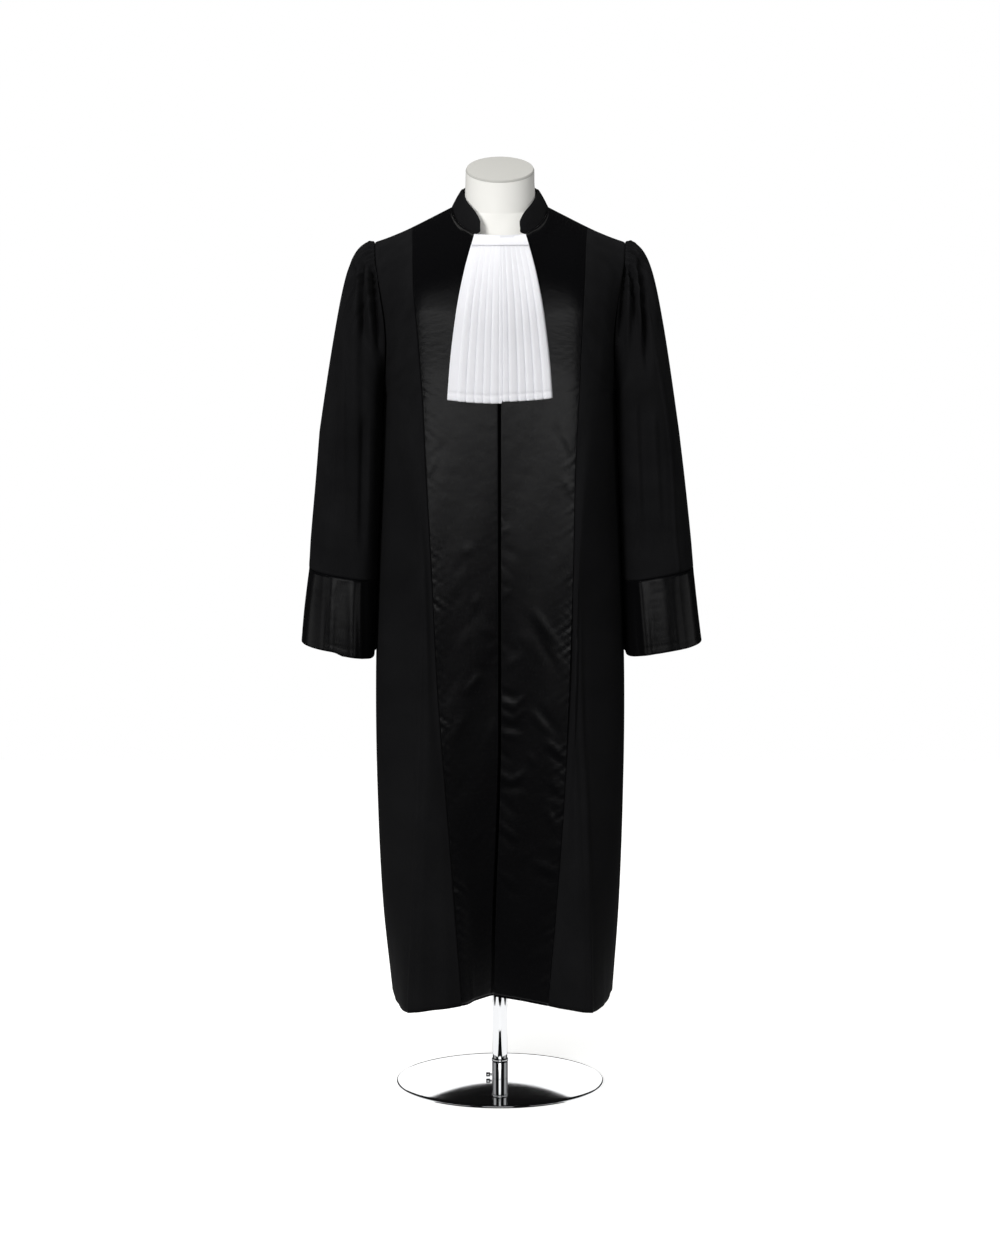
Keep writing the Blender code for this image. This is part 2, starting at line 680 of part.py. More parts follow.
def thumb_screw():
    """The little screw through the socket's side that holds the pole."""
    head_radius, shank_radius = 0.0040, 0.0020
    start = SOCKET_RADIUS + SEAM_GAP
    bm = bmesh.new()
    profile = [(0.0, 0.0), (shank_radius, 0.0), (shank_radius, 0.0035), (head_radius, 0.0045)]
    profile += [(head_radius, 0.0100), (head_radius - 0.001, 0.0110), (0.0, 0.0110)]
    points = [bm.verts.new((radius, 0.0, along)) for radius, along in profile]
    for first, second in zip(points, points[1:]):
        bm.edges.new((first, second))
    bmesh.ops.spin(
        bm, geom=bm.verts[:] + bm.edges[:], axis=(0, 0, 1), cent=(0, 0, 0), angle=2 * pi, steps=16,
        use_merge=True,
    )
    bmesh.ops.remove_doubles(bm, verts=bm.verts, dist=1e-6)
    bmesh.ops.rotate(bm, verts=bm.verts, matrix=Matrix.Rotation(-pi / 2, 3, "Y"))
    bmesh.ops.translate(bm, verts=bm.verts, vec=(-start, 0.0, SCREW_Z))
    bmesh.ops.recalc_face_normals(bm, faces=bm.faces)
    finished("thumb_screw", CHROME, bm)


for side in (RIGHT, LEFT):
    satin_front(side)
    side_front(side)
    sleeve(side)
    cuff(side)
back_panel()
collar()
jabot()
jabot_band()
form_torso()
neck_cap()
turned("base_plate", 0.0, BASE_THICK, BASE_RADIUS, segments=56, edge=BASE_EDGE)
turned("pole_socket", BASE_THICK + SEAM_GAP, SOCKET_TOP, SOCKET_RADIUS)
turned("pole_ring", SOCKET_TOP + SEAM_GAP, RING_TOP, RING_RADIUS, segments=20, edge=0.001)
turned("pole", RING_TOP + SEAM_GAP, FORM_LOW - SEAM_GAP, POLE_RADIUS)
thumb_screw()
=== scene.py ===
"""Judicial robe with satin fronts and cuffs and a pleated white jabot, on a limbless dress form.

Metres, +Z up. The front faces -Y and the wearer's left is +X. The cloth pieces lie on the surfaces of the
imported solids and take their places; folds, gathers and seams are worked into their meshes.
"""

from collections import namedtuple
from math import cos, pi, radians, sin, tan

import bmesh
import bpy
import numpy as np
from mathutils import Matrix, Vector


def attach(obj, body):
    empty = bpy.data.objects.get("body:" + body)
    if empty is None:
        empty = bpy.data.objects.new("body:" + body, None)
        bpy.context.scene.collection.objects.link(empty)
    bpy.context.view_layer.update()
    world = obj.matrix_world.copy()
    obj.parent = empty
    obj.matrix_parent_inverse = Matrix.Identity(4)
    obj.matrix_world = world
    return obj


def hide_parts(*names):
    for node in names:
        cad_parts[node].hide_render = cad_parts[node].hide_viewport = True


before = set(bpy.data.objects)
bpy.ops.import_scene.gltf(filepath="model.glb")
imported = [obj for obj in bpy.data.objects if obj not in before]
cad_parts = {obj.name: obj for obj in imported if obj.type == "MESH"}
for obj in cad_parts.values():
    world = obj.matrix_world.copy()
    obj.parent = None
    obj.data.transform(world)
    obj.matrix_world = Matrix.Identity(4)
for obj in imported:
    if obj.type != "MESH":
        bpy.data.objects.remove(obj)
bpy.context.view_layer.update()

# Camera and studio.
# A long lens a little above the shoulders looks slightly down, as for a catalogue picture. The backdrop is
# white to the camera, and the room round it is dark, so that the satin and the chrome show the softboxes
# and cards only.
CAMERA_HEIGHT = 1.742
CAMERA_DISTANCE = 6.5
CAMERA_DOWN = radians(7.84)
LENS = 104.5

bpy.context.scene.view_settings.view_transform = "Standard"
lens = bpy.data.cameras.new("catalogue_lens")
lens.sensor_fit = "VERTICAL"
lens.sensor_height = 36.0
lens.lens = LENS
camera = bpy.data.objects.new("catalogue_camera", lens)
camera.location = (0.0, -CAMERA_DISTANCE, CAMERA_HEIGHT)
camera.rotation_euler = (pi / 2 - CAMERA_DOWN, 0.0, 0.0)
bpy.context.scene.collection.objects.link(camera)
bpy.context.scene.camera = camera


def linear(hex_colour):
    """An sRGB hex colour as linear red, green, blue and alpha."""
    parts = [int(hex_colour[i : i + 2], 16) / 255 for i in (1, 3, 5)]
    return (*[c / 12.92 if c <= 0.04045 else ((c + 0.055) / 1.055) ** 2.4 for c in parts], 1.0)


def wire(tree, node, inputs):
    """Fills the node's sockets: each input is a value to set or a socket to link from."""
    for socket, value in inputs.items():
        if isinstance(value, bpy.types.NodeSocket):
            tree.links.new(value, node.inputs[socket])
        else:
            node.inputs[socket].default_value = value


def add_node(tree, kind, inputs=None, **settings):
    """Adds a node: settings are its own properties, inputs are for its sockets."""
    made = tree.nodes.new(kind)
    for name, value in settings.items():
        setattr(made, name, value)
    wire(tree, made, inputs or {})
    return made


def new_material(name):
    """A new material, with its node tree and its shader."""
    made = bpy.data.materials.new(name)
    made.use_nodes = True
    return made, made.node_tree, made.node_tree.nodes["Principled BSDF"]


def calc(tree, operation, *parts):
    return add_node(tree, "ShaderNodeMath", dict(enumerate(parts)), operation=operation).outputs[0]


def noise(tree, place, scale, detail):
    made = add_node(tree, "ShaderNodeTexNoise", {"Vector": place, "Scale": scale, "Detail": detail})
    return made.outputs["Fac"]


def spread(tree, value, low, high):
    """Carries a value from 0 to 1 over to the range from low to high."""
    return add_node(tree, "ShaderNodeMapRange", {"Value": value, "To Min": low, "To Max": high}).outputs[0]


def two_tones(tree, value, dark, light, start=0.0):
    """A colour between two hex colours; below start it is the dark one."""
    ramp = add_node(tree, "ShaderNodeValToRGB", {"Fac": value})
    ramp.color_ramp.elements[0].color = linear(dark)
    ramp.color_ramp.elements[1].color = linear(light)
    ramp.color_ramp.elements[0].position = start
    return ramp.outputs["Color"]


def bump(tree, height, strength, distance, under=None):
    """A bump of the given depth in metres, over another one if under is given."""
    made = add_node(tree, "ShaderNodeBump", {"Height": height, "Strength": strength, "Distance": distance})
    wire(tree, made, {"Normal": under} if under else {})
    return made.outputs[0]


def as_object(name, bm, material):
    """Turns the bmesh into an object of one material."""
    mesh = bpy.data.meshes.new(name)
    bm.to_mesh(mesh)
    bm.free()
    mesh.materials.append(material)
    made = bpy.data.objects.new(name, mesh)
    bpy.context.scene.collection.objects.link(made)
    return made


room = bpy.data.worlds.new("white_sweep_room")
bpy.context.scene.world = room
room.use_nodes = True
tree = room.node_tree
tree.nodes.clear()
seen = add_node(tree, "ShaderNodeLightPath")
fill = calc(tree, "MULTIPLY_ADD", seen.outputs["Is Diffuse Ray"], 0.12, 0.005)
level = calc(tree, "MAXIMUM", seen.outputs["Is Camera Ray"], fill)
sky = add_node(tree, "ShaderNodeBackground", {"Color": linear("#ffffff"), "Strength": level})
add_node(tree, "ShaderNodeOutputWorld", {"Surface": sky.outputs[0]})

Softbox = namedtuple("Softbox", "name x y z aim_z wide high watts in_gloss")
SOFTBOXES = [
    Softbox("front_softbox", -0.3, -7.4, 1.50, 1.3, 4.4, 0.72, 31, True),
    Softbox("front_softbox_fringe", -0.3, -7.4, 2.08, 1.3, 4.2, 0.44, 8, True),
    Softbox("high_softbox", -0.3, -7.4, 3.3, 1.3, 4.0, 1.8, 13, True),
    Softbox("left_wing", -5.2, -5.0, 0.7, 0.8, 3.6, 1.4, 15, True),
    Softbox("right_wing", 5.2, -5.0, 0.7, 0.8, 3.6, 1.4, 11, True),
    Softbox("left_key", -3.1, -5.2, 3.4, 1.1, 2.0, 2.0, 305, False),
    Softbox("right_fill", 4.0, -4.0, 2.4, 1.1, 1.6, 2.0, 30, False),
    Softbox("ceiling_softbox", 0.0, 0.5, 5.0, 0.0, 8.0, 8.0, 280, False),
]
for box in SOFTBOXES:
    glow = bpy.data.lights.new(box.name, "AREA")
    glow.shape = "RECTANGLE"
    glow.size = box.wide
    glow.size_y = box.high
    glow.energy = box.watts
    lamp = bpy.data.objects.new(box.name, glow)
    lamp.location = (box.x, box.y, box.z)
    towards = Vector((0.0, 0.0, box.aim_z)) - lamp.location
    lamp.rotation_euler = towards.to_track_quat("-Z", "Y").to_euler()
    lamp.visible_glossy = box.in_gloss
    bpy.context.scene.collection.objects.link(lamp)

# The floor is one plain pale sheet.
bm = bmesh.new()
bmesh.ops.create_grid(bm, x_segments=1, y_segments=1, size=3.4)
paper, tree, shader = new_material("white_background_paper")
paper_values = {
    "Base Color": linear("#f6f6f4"),
    "Roughness": 0.9,
    "Specular IOR Level": 0.1,
    "Emission Color": linear("#ffffff"),
    "Emission Strength": 0.42,
}
wire(tree, shader, paper_values)
floor = as_object("studio_floor", bm, paper)
floor.visible_glossy = False
floor.visible_diffuse = False

# Pale cards round the stand, which only the chrome and the satin mirror: one behind it, cut out at its top,
# one beside it on each side, and three on the floor, to its left, to its right and a little way in front.
Card = namedtuple("Card", "name x y z wide high turn glow")
CARDS = [
    Card("back_card", 0.0, 3.4, 0.9, 0.9, 0.6, (pi / 2, 0.0, 0.0), 1.35),
    Card("left_card", -2.5, 0.0, 0.6, 2.4, 0.8, (pi / 2, 0.0, pi / 2), 0.40),
    Card("right_card", 2.5, 0.0, 0.6, 2.4, 0.8, (pi / 2, 0.0, pi / 2), 0.40),
    Card("left_floor_card", -0.36, -0.05, -0.001, 0.48, 1.10, (0.0, 0.0, 0.0), 1.15),
    Card("right_floor_card", 0.36, -0.05, -0.001, 0.48, 1.10, (0.0, 0.0, 0.0), 1.15),
    Card("front_floor_card", 0.0, -0.50, -0.001, 0.24, 0.20, (0.0, 0.0, 0.0), 1.15),
]
for card in CARDS:
    bm = bmesh.new()
    bmesh.ops.create_grid(bm, x_segments=30, y_segments=1, size=0.5)
    bmesh.ops.scale(bm, verts=bm.verts, vec=(card.wide, card.high, 1.0))
    if card.name == "back_card":
        for vert in bm.verts:
            if vert.co.y > 0:
                vert.co.y = min(0.057 + 2.4 * vert.co.x**2, 0.3)
    glowing, tree, shader = new_material(card.name + "_paper")
    glow_values = {
        "Base Color": linear("#000000"),
        "Emission Color": linear("#ffffff"),
        "Emission Strength": card.glow,
    }
    wire(tree, shader, glow_values)
    sheet = as_object(card.name, bm, glowing)
    sheet.location = (card.x, card.y, card.z)
    sheet.rotation_euler = card.turn
    sheet.visible_camera = False
    sheet.visible_diffuse = False
    sheet.visible_transmission = False
    sheet.visible_shadow = False

# The body of the robe: two satin fronts, two matte side fronts and one matte back.
# They are cut to the shape below, from hem to neckline and shoulder seam, and sewn edge to edge; the
# wearer's left satin front laps over the right one. The satin is drawn up a little by its long seams.
RIGHT, LEFT = -1, 1
FRONT, BACK = -1, 1
ARM_TOP, ARM_LOW = 1.536, 1.270
ARM_FRONT, ARM_BACK = 0.088, 0.095
SHOULDER_ROUND = 0.17
SEAM_U, NECK_U = 0.5, 0.29
SHOULDER_GAP = 0.0001
TUCK = 0.004
OPENING = 0.003
LAP = 0.016
BACK_FLUTES, BACK_FLUTE_DEPTH = 5, 0.011
WOOL_THICK, SATIN_THICK = 0.0014, 0.0012

Level = namedtuple(
    "Level",
    "z right_x left_x seam_right seam_left centre_y seam_y crease_x crease_y flank_in flank_y spine_y",
)
LEVELS = [
    Level(0.17, 0.196, 0.205, 0.068, 0.085, -0.162, -0.186, 0.161, -0.204, 0.012, -0.105, 0.160),
    Level(0.34, 0.213, 0.2165, 0.080, 0.100, -0.166, -0.182, 0.154, -0.197, 0.012, -0.105, 0.154),
    Level(0.54, 0.2218, 0.223, 0.095, 0.1136, -0.167, -0.178, 0.146, -0.189, 0.012, -0.105, 0.147),
    Level(0.74, 0.224, 0.2245, 0.110, 0.123, -0.166, -0.173, 0.141, -0.178, 0.013, -0.100, 0.140),
    Level(0.97, 0.2185, 0.2185, 0.1215, 0.130, -0.164, -0.167, 0.146, -0.166, 0.014, -0.095, 0.134),
    Level(1.14, 0.212, 0.212, 0.1306, 0.1335, -0.160, -0.160, 0.160, -0.150, 0.014, -0.092, 0.129),
    Level(1.27, 0.207, 0.207, 0.137, 0.140, -0.157, -0.153, 0.172, -0.136, 0.012, -0.092, 0.128),
    Level(1.36, 0.2015, 0.2015, 0.1442, 0.144, -0.154, -0.147, 0.176, -0.128, 0.009, -0.108, 0.128),
    Level(1.46, 0.2125, 0.2125, 0.1533, 0.1493, -0.150, -0.140, 0.186, -0.118, 0.010, -0.100, 0.124),
    Level(1.56, 0.2225, 0.2225, 0.158, 0.154, -0.147, -0.134, 0.192, -0.105, 0.012, -0.090, 0.118),
]

Edge = namedtuple("Edge", "u x y z")
NECKLINE = {
    FRONT: [
        Edge(0.00, 0.0012, -0.105, 1.545),
        Edge(0.10, 0.036, -0.092, 1.549),
        Edge(0.16, 0.055, -0.075, 1.559),
        Edge(0.21, 0.069, -0.058, 1.568),
        Edge(0.25, 0.0804, -0.034, 1.5815),
        Edge(NECK_U, 0.0856, 0.000, 1.598),
    ],
    BACK: [
        Edge(0.00, 0.000, 0.070, 1.615),
        Edge(0.10, 0.036, 0.065, 1.6135),
        Edge(0.18, 0.064, 0.049, 1.609),
        Edge(0.24, 0.079, 0.027, 1.603),
        Edge(NECK_U, 0.0856, 0.000, 1.598),
    ],
}
SHOULDER = [
    Edge(NECK_U, 0.0856, 0.0, 1.598),
    Edge(SEAM_U, 0.1560, 0.0, 1.5625),
    Edge(0.70, 0.1880, 0.0, 1.5484),
    Edge(0.86, 0.2075, 0.0, 1.5410),
    Edge(1.00, 0.2225, 0.0, ARM_TOP),
]

Hem = namedtuple("Hem", "u front_z back_z")
HEM = [
    Hem(0.00, 0.1990, 0.1740),
    Hem(0.25, 0.1930, 0.1745),
    Hem(SEAM_U, 0.1865, 0.1750),
    Hem(0.70, 0.1790, 0.1740),
    Hem(0.86, 0.1750, 0.1730),
    Hem(1.00, 0.1725, 0.1725),
]

Opening = namedtuple("Opening", "z x")
OPENING_LINE = [
    Opening(0.17, -0.0138),
    Opening(0.36, -0.0105),
    Opening(0.47, -0.0062),
    Opening(0.56, -0.0032),
    Opening(0.66, -0.0010),
    Opening(1.25, -0.0012),
    Opening(1.55, 0.0000),
]

ArmX = namedtuple("ArmX", "z x")
ARMHOLE_X = [
    ArmX(1.270, 0.2070),
    ArmX(1.320, 0.2030),
    ArmX(1.359, 0.2015),
    ArmX(1.396, 0.2035),
    ArmX(1.445, 0.2100),
    ArmX(1.482, 0.2157),
    ArmX(1.506, 0.2190),
    ArmX(ARM_TOP, 0.2200),
]


def through(knots, values, at):
    """A smooth curve through the values at the knots, read at every place in at."""
    knots = np.array(knots, float)
    at = np.clip(at, knots[0], knots[-1])
    values = np.array([np.broadcast_to(value, at.shape) for value in values])
    last = len(knots) - 1
    before = np.maximum(np.arange(last + 1) - 1, 0)
    after = np.minimum(np.arange(last + 1) + 1, last)
    slopes = (values[after] - values[before]) / (knots[after] - knots[before])[:, None]
    low = np.clip(np.searchsorted(knots, at, side="right") - 1, 0, last - 1)
    here = np.arange(len(at))
    span = knots[low + 1] - knots[low]
    t = (at - knots[low]) / span
    foot, rise = values[low, here], values[low + 1, here] - values[low, here]
    start, end = slopes[low, here] * span, slopes[low + 1, here] * span
    return foot + start * t + (rise * 3 - start * 2 - end) * t**2 + (start + end - rise * 2) * t**3


def column(table, name, at, key="z"):
    """The named column of a table, read at places along its key column."""
    return through([getattr(row, key) for row in table], [getattr(row, name) for row in table], at)


def mix(a, b, share):
    return a + (b - a) * share


def ease(t):
    t = np.clip(t, 0.0, 1.0)
    return t * t * (3 - 2 * t)


def bell(distance, width):
    """A soft ridge's cross-section, 1 in the middle and 0 past the width."""
    t = np.minimum(np.abs(distance) / width, 1.0)
    return (1 - t * t) ** 2


def side_name(side):
    return "right" if side == RIGHT else "left"


def armhole(angle):
    """The armhole seam on the +X side: angle 0 at the shoulder, pi / 2 in front, pi under the arm."""
    z = (ARM_TOP + ARM_LOW) / 2 + (ARM_TOP - ARM_LOW) / 2 * np.cos(angle)
    reach = np.where(np.sin(angle) > 0, ARM_FRONT, ARM_BACK)
    rounded = np.where(np.cos(angle) > 0, np.abs(np.sin(angle)), 1.0)
    return mix(SHOULDER[-1].x, column(ARMHOLE_X, "x", z), rounded), -reach * np.sin(angle), z


def side_edge(side, face, z):
    """Where a section ends at height z: under the rounding of the shoulder, the armhole or the side seam."""
    reach = ARM_FRONT if face == FRONT else ARM_BACK
    below_middle = np.clip((ARM_TOP + ARM_LOW - 2 * z) / (ARM_TOP - ARM_LOW), 0.0, 1.0)
    under = z < ARM_LOW
    x = np.where(under, column(LEVELS, side_name(side) + "_x", z), column(ARMHOLE_X, "x", z))
    return x, np.where(under, 0.0, face * reach * np.sqrt(1 - below_middle**2))


def front_section(side, u, z):
    """The front's section at height z, from the opening (u 0) to the side edge (u 1)."""
    edge_x, edge_y = side_edge(side, FRONT, z)
    seam_x = column(LEVELS, "seam_" + side_name(side), z)
    seam_y = column(LEVELS, "seam_y", z)
    centre_y = column(LEVELS, "centre_y", z)
    opening = side * column(OPENING_LINE, "x", z)
    opening = opening + OPENING
    if side == RIGHT:
        centre_y = centre_y + TUCK * ease((1.2 - z) / 0.5)
    xs = [opening, mix(opening, seam_x, 0.5), seam_x, column(LEVELS, "crease_x", z)]
    xs += [edge_x - column(LEVELS, "flank_in", z), edge_x]
    ys = [centre_y, mix(centre_y, seam_y, 0.45), seam_y, column(LEVELS, "crease_y", z)]
    ys += [np.minimum(column(LEVELS, "flank_y", z), edge_y), edge_y]
    knots = [0.0, 0.25, SEAM_U, 0.7, 0.86, 1.0]
    return through(knots, xs, u), through(knots, ys, u)


def back_section(side, u, z):
    """The back's section at height z, from the centre back (u 0) to the side edge (u 1)."""
    edge_x, edge_y = side_edge(side, BACK, z)
    spine = column(LEVELS, "spine_y", z)
    flank = np.maximum(0.092, edge_y)
    xs = [0.0, 0.073, 0.138, 0.174, edge_x - 0.012, edge_x]
    ys = [spine, spine, spine - 0.006, spine - 0.024, np.minimum(flank, spine - 0.03), edge_y]
    knots = [0.0, 0.25, SEAM_U, 0.7, 0.86, 1.0]
    flute = np.cos(pi * BACK_FLUTES * u) * (1 - ease((u - 0.75) / 0.2)) * ease((1.36 - z) / 1.0)
    return through(knots, xs, u), through(knots, ys, u) + BACK_FLUTE_DEPTH * flute


def top_edge(face, u):
    """The neckline up to the side of the neck, then the straight shoulder seam."""
    on_neck = u < NECK_U
    neck = [column(NECKLINE[face], axis, u, "u") for axis in "xyz"]
    seam = [column(SHOULDER, axis, u, "u") for axis in "xyz"]
    x, y, z = [np.where(on_neck, *pair) for pair in zip(neck, seam)]
    return x, y + face * SHOULDER_GAP, z


def body_at(side, face, u, z):
    """The robe's outer surface at height z, on the +X side."""
    top = np.array(top_edge(face, u))
    x, y = front_section(side, u, z) if face == FRONT else back_section(side, u, z)
    depth = mix(SHOULDER_ROUND, (ARM_TOP - ARM_LOW) / 2, ease(u))
    drop = np.clip((top[2] - z) / depth, 0.0, 1.0)
    around = np.mean([top_edge(face, np.clip(u + off, 0, 1)) for off in np.linspace(-0.16, 0.16, 9)], axis=0)
    eased = mix(top, around, ease(drop / 0.3) * (1 - ease((u - 0.75) / 0.2)) * ease(u / 0.16))
    drop = np.clip((eased[2] - z) / depth, 0.0, 1.0)
    rounded = np.sqrt(1 - (1 - drop) ** 2)
    return np.stack([mix(eased[0], x, rounded), mix(eased[1], y, rounded), np.minimum(z, top[2])], axis=1)


def body_point(side, face, u, v):
    """The outer surface by its place on the cloth: v is 0 at the hem and 1 at the neckline or shoulder."""
    underarm = 11 / 23
    hem = column(HEM, "front_z" if face == FRONT else "back_z", u, "u")
    skirt = mix(hem, ARM_LOW, v / underarm)
    down = np.clip((1 - v) / (1 - underarm), 0.0, 1.0)
    top = top_edge(face, u)[2]
    inner = top - (top - ARM_LOW) * (1 - np.cos(down * pi / 2))
    outer = top - (ARM_TOP - armhole(pi * down)[2]) * (top - ARM_LOW) / (ARM_TOP - ARM_LOW)
    chest = mix(inner, outer, ease((u - 0.45) / 0.55))
    points = body_at(side, face, u, np.where(v < underarm, skirt, chest))
    points[:, 0] *= side
    return points


def cloth_piece(name, grid, shape, relief, flat, thick, material, closed=False, crowd=0.0):
    """One piece of cloth: a grid laid on shape(u, v), moved out by relief along its normals, with a wall behind.
    Crowd draws the columns together towards both side edges, for a neat seam.

    Seen from outside, u runs to the right and v up. Its UV map gives the place on the flat cloth in metres.
    """
    bm = bmesh.new()
    places = bm.loops.layers.uv.new("cloth")
    bmesh.ops.create_grid(bm, x_segments=grid[0], y_segments=grid[1], size=0.5)
    for face in bm.faces:
        for loop in face.loops:
            loop[places].uv = ((loop.vert.co.x + 0.5) * flat[0], (loop.vert.co.y + 0.5) * flat[1])
    u = np.array([vert.co.x for vert in bm.verts]) + 0.5
    v = np.array([vert.co.y for vert in bm.verts]) + 0.5
    u = u - crowd * np.sin(2 * pi * u) / (2 * pi)
    points = shape(u, v)
    step = 0.002
    if closed:
        across = shape(u + step, v) - shape(u - step, v)
    else:
        across = shape(np.minimum(u + step, 1), v) - shape(np.maximum(u - step, 0), v)
    along = shape(u, np.minimum(v + step, 1)) - shape(u, np.maximum(v - step, 0))
    normals = np.cross(across, along)
    normals /= np.maximum(np.linalg.norm(normals, axis=1), 1e-12)[:, None]
    points = points + normals * relief(points, u, v)[:, None]
    for vert, point in zip(bm.verts, points):
        vert.co = point
    if closed:
        bmesh.ops.remove_doubles(bm, verts=bm.verts, dist=1e-6)
    piece = as_object(name, bm, material)
    piece.data.shade_smooth()
    wall = piece.modifiers.new("cloth_thickness", "SOLIDIFY")
    wall.thickness = thick
    wall.offset = -1.0
    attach(piece, "root")
    return piece


# Plain-woven suiting of wool and polyester, finished matt: it drinks the light and keeps only a faint
# bloom. Its threads are 0.45 mm apart, so the weave is felt only close up; broad pressing marks show from
# afar.
suiting, tree, shader = new_material("black_plain_weave_suiting")
cloth_uv = add_node(tree, "ShaderNodeUVMap", uv_map="cloth").outputs[0]
THREAD = 0.00045
WAVE_PERIOD = 0.314
wave_inputs = {"Vector": cloth_uv, "Scale": WAVE_PERIOD / THREAD}
warp = add_node(tree, "ShaderNodeTexWave", wave_inputs, bands_direction="X")
weft = add_node(tree, "ShaderNodeTexWave", wave_inputs, bands_direction="Y")
weave = calc(tree, "MULTIPLY", warp.outputs["Fac"], weft.outputs["Fac"])
marks = noise(tree, cloth_uv, 14.0, 4.0)
shade = calc(tree, "MULTIPLY_ADD", weave, 0.35, marks)
suiting_values = {
    "Base Color": two_tones(tree, shade, "#0d0d0e", "#171718", start=0.2),
    "Roughness": spread(tree, marks, 0.84, 0.95),
    "Normal": bump(tree, weave, 0.35, 0.0001),
    "Specular IOR Level": 0.12,
    "Sheen Weight": 0.006,
    "Sheen Roughness": 0.5,
}
wire(tree, shader, suiting_values)

# Black duchesse satin, woven with long floats on its face: a soft broad shine that runs with the floats,
# fine streaks where single threads lie higher, and a slight bloom. The streaks are 0.3 mm wide and 6 mm
# long.
satin, tree, shader = new_material("black_duchesse_satin")
cloth_uv = add_node(tree, "ShaderNodeUVMap", uv_map="cloth").outputs[0]
floats = add_node(tree, "ShaderNodeMapping", {"Vector": cloth_uv, "Scale": (3300.0, 160.0, 1.0)})
streaks = noise(tree, floats.outputs[0], 1.0, 2.0)
ripple = bump(tree, noise(tree, cloth_uv, 55.0, 3.0), 0.28, 0.0012)
grain_line = add_node(tree, "ShaderNodeTangent", direction_type="UV_MAP", uv_map="cloth")
satin_values = {
    "Base Color": two_tones(tree, streaks, "#040405", "#0b0b0c"),
    "Roughness": spread(tree, streaks, 0.22, 0.30),
    "Normal": bump(tree, streaks, 0.2, 0.0001, under=ripple),
    "Tangent": grain_line.outputs[0],
    "Anisotropic": 0.15,
    "Specular IOR Level": 0.24,
    "Sheen Weight": 0.004,
}
wire(tree, shader, satin_values)

# Drag wrinkles in the satin, each a short soft ridge (or a trough, where its height is negative) between
# two points of the front. The wearer's left side has the most, from the hip to the knee. The rows are in
# millimetres.
Wrinkle = namedtuple("Wrinkle", "x1 z1 x2 z2 width height")
WRINKLES = {
    RIGHT: [
        (-94, 1196, -120, 1144, 9, -0.9), (-104, 1175, -125, 1137, 7, 1.2), (-59, 999, -52, 1006, 8, 0.8),
        (-64, 985, -78, 958, 9, -0.7), (-45, 909, -38, 917, 7, 1), (-52, 869, -34, 896, 9, -0.8),
        (-27, 864, -13, 853, 9, 1.2), (-59, 753, -36, 779, 7, 1.8), (-41, 793, -20, 786, 8, -1),
        (-24, 821, -6, 834, 8, 0.8), (-84, 664, -61, 714, 9, 1.1), (-95, 736, -77, 786, 10, -0.8),
        (-20, 664, -6, 696, 9, 0.9), (-49, 480, -35, 502, 6, 1.2), (-74, 556, -52, 601, 12, -0.8),
        (-67, 393, -45, 433, 10, 0.7), (-35, 366, -17, 402, 9, -0.8), (-87, 896, -66, 935, 10, -0.7),
        (-77, 816, -56, 857, 9, 0.8),
    ],
    LEFT: [
        (95, 1224, 122, 1158, 9, -0.8), (106, 1214, 129, 1170, 7, 0.8), (111, 1130, 127, 1105, 7, 0.9),
        (1, 1033, 17, 1040, 6, 0.9), (4, 1006, 33, 992, 8, -0.7), (3, 955, 22, 946, 7, 0.8),
        (3, 919, 18, 928, 6, 1), (59, 898, 110, 821, 8, 2.2), (50, 882, 93, 800, 9, -1.8),
        (80, 843, 117, 786, 8, 1.2), (36, 857, 54, 825, 8, 0.8), (4, 843, 29, 816, 9, -0.8),
        (10, 793, 43, 821, 8, 0.8), (1, 734, 31, 721, 6, 2), (26, 725, 45, 743, 6, 1.6),
        (1, 748, 29, 741, 7, -1.6), (-1, 712, 22, 700, 6, 1.8), (22, 700, 47, 721, 6, 1.6),
        (4, 691, 40, 685, 7, -1.4), (-1, 678, 36, 669, 6, 1.5), (56, 714, 82, 684, 8, 1.7),
        (68, 721, 107, 673, 9, -1.4), (81, 664, 114, 632, 7, 2.4), (86, 646, 113, 619, 8, -1.8),
        (-1, 646, 19, 628, 7, -1.2), (50, 639, 61, 624, 6, 1.2), (-1, 603, 20, 588, 7, 2.4),
        (20, 588, 42, 605, 7, 2.2), (-1, 581, 43, 581, 8, -1.8), (91, 592, 111, 572, 6, 1.6),
        (82, 574, 107, 556, 8, -1), (-1, 563, 31, 527, 9, -1.5), (81, 542, 102, 505, 7, 1.7),
        (93, 556, 109, 549, 5, 1.4), (-3, 513, 28, 487, 6, 2.2), (1, 498, 26, 473, 8, -1.4),
        (86, 476, 108, 473, 5, 1.3), (61, 444, 102, 428, 8, 2), (65, 422, 101, 411, 8, -1.3),
        (1, 422, 24, 408, 6, 1.4), (10, 397, 37, 380, 8, -0.9), (72, 331, 95, 337, 6, 1),
        (54, 271, 92, 288, 8, 1.3), (15, 320, 37, 293, 10, -0.7), (33, 448, 54, 466, 9, 0.8),
    ],
}
WRINKLE_HEIGHT = 0.42
CHEST_HOLLOW, CHEST_Z, CHEST_HALF = 0.0032, 1.42, 0.12


def wrinkled(table, x, z):
    """The height that the wrinkles of a table add at x and z."""
    total = np.zeros_like(x)
    for row in table:
        crease = Wrinkle(*[part / 1000 for part in row])
        run_x, run_z = crease.x2 - crease.x1, crease.z2 - crease.z1
        length = np.hypot(run_x, run_z)
        along = ((x - crease.x1) * run_x + (z - crease.z1) * run_z) / length**2
        off = ((x - crease.x1) * run_z - (z - crease.z1) * run_x) / length
        taper = bell(along - 0.5, 0.5 + 1.5 * crease.width / length)
        total += WRINKLE_HEIGHT * crease.height * bell(off, crease.width * 1.45) * taper
    return total


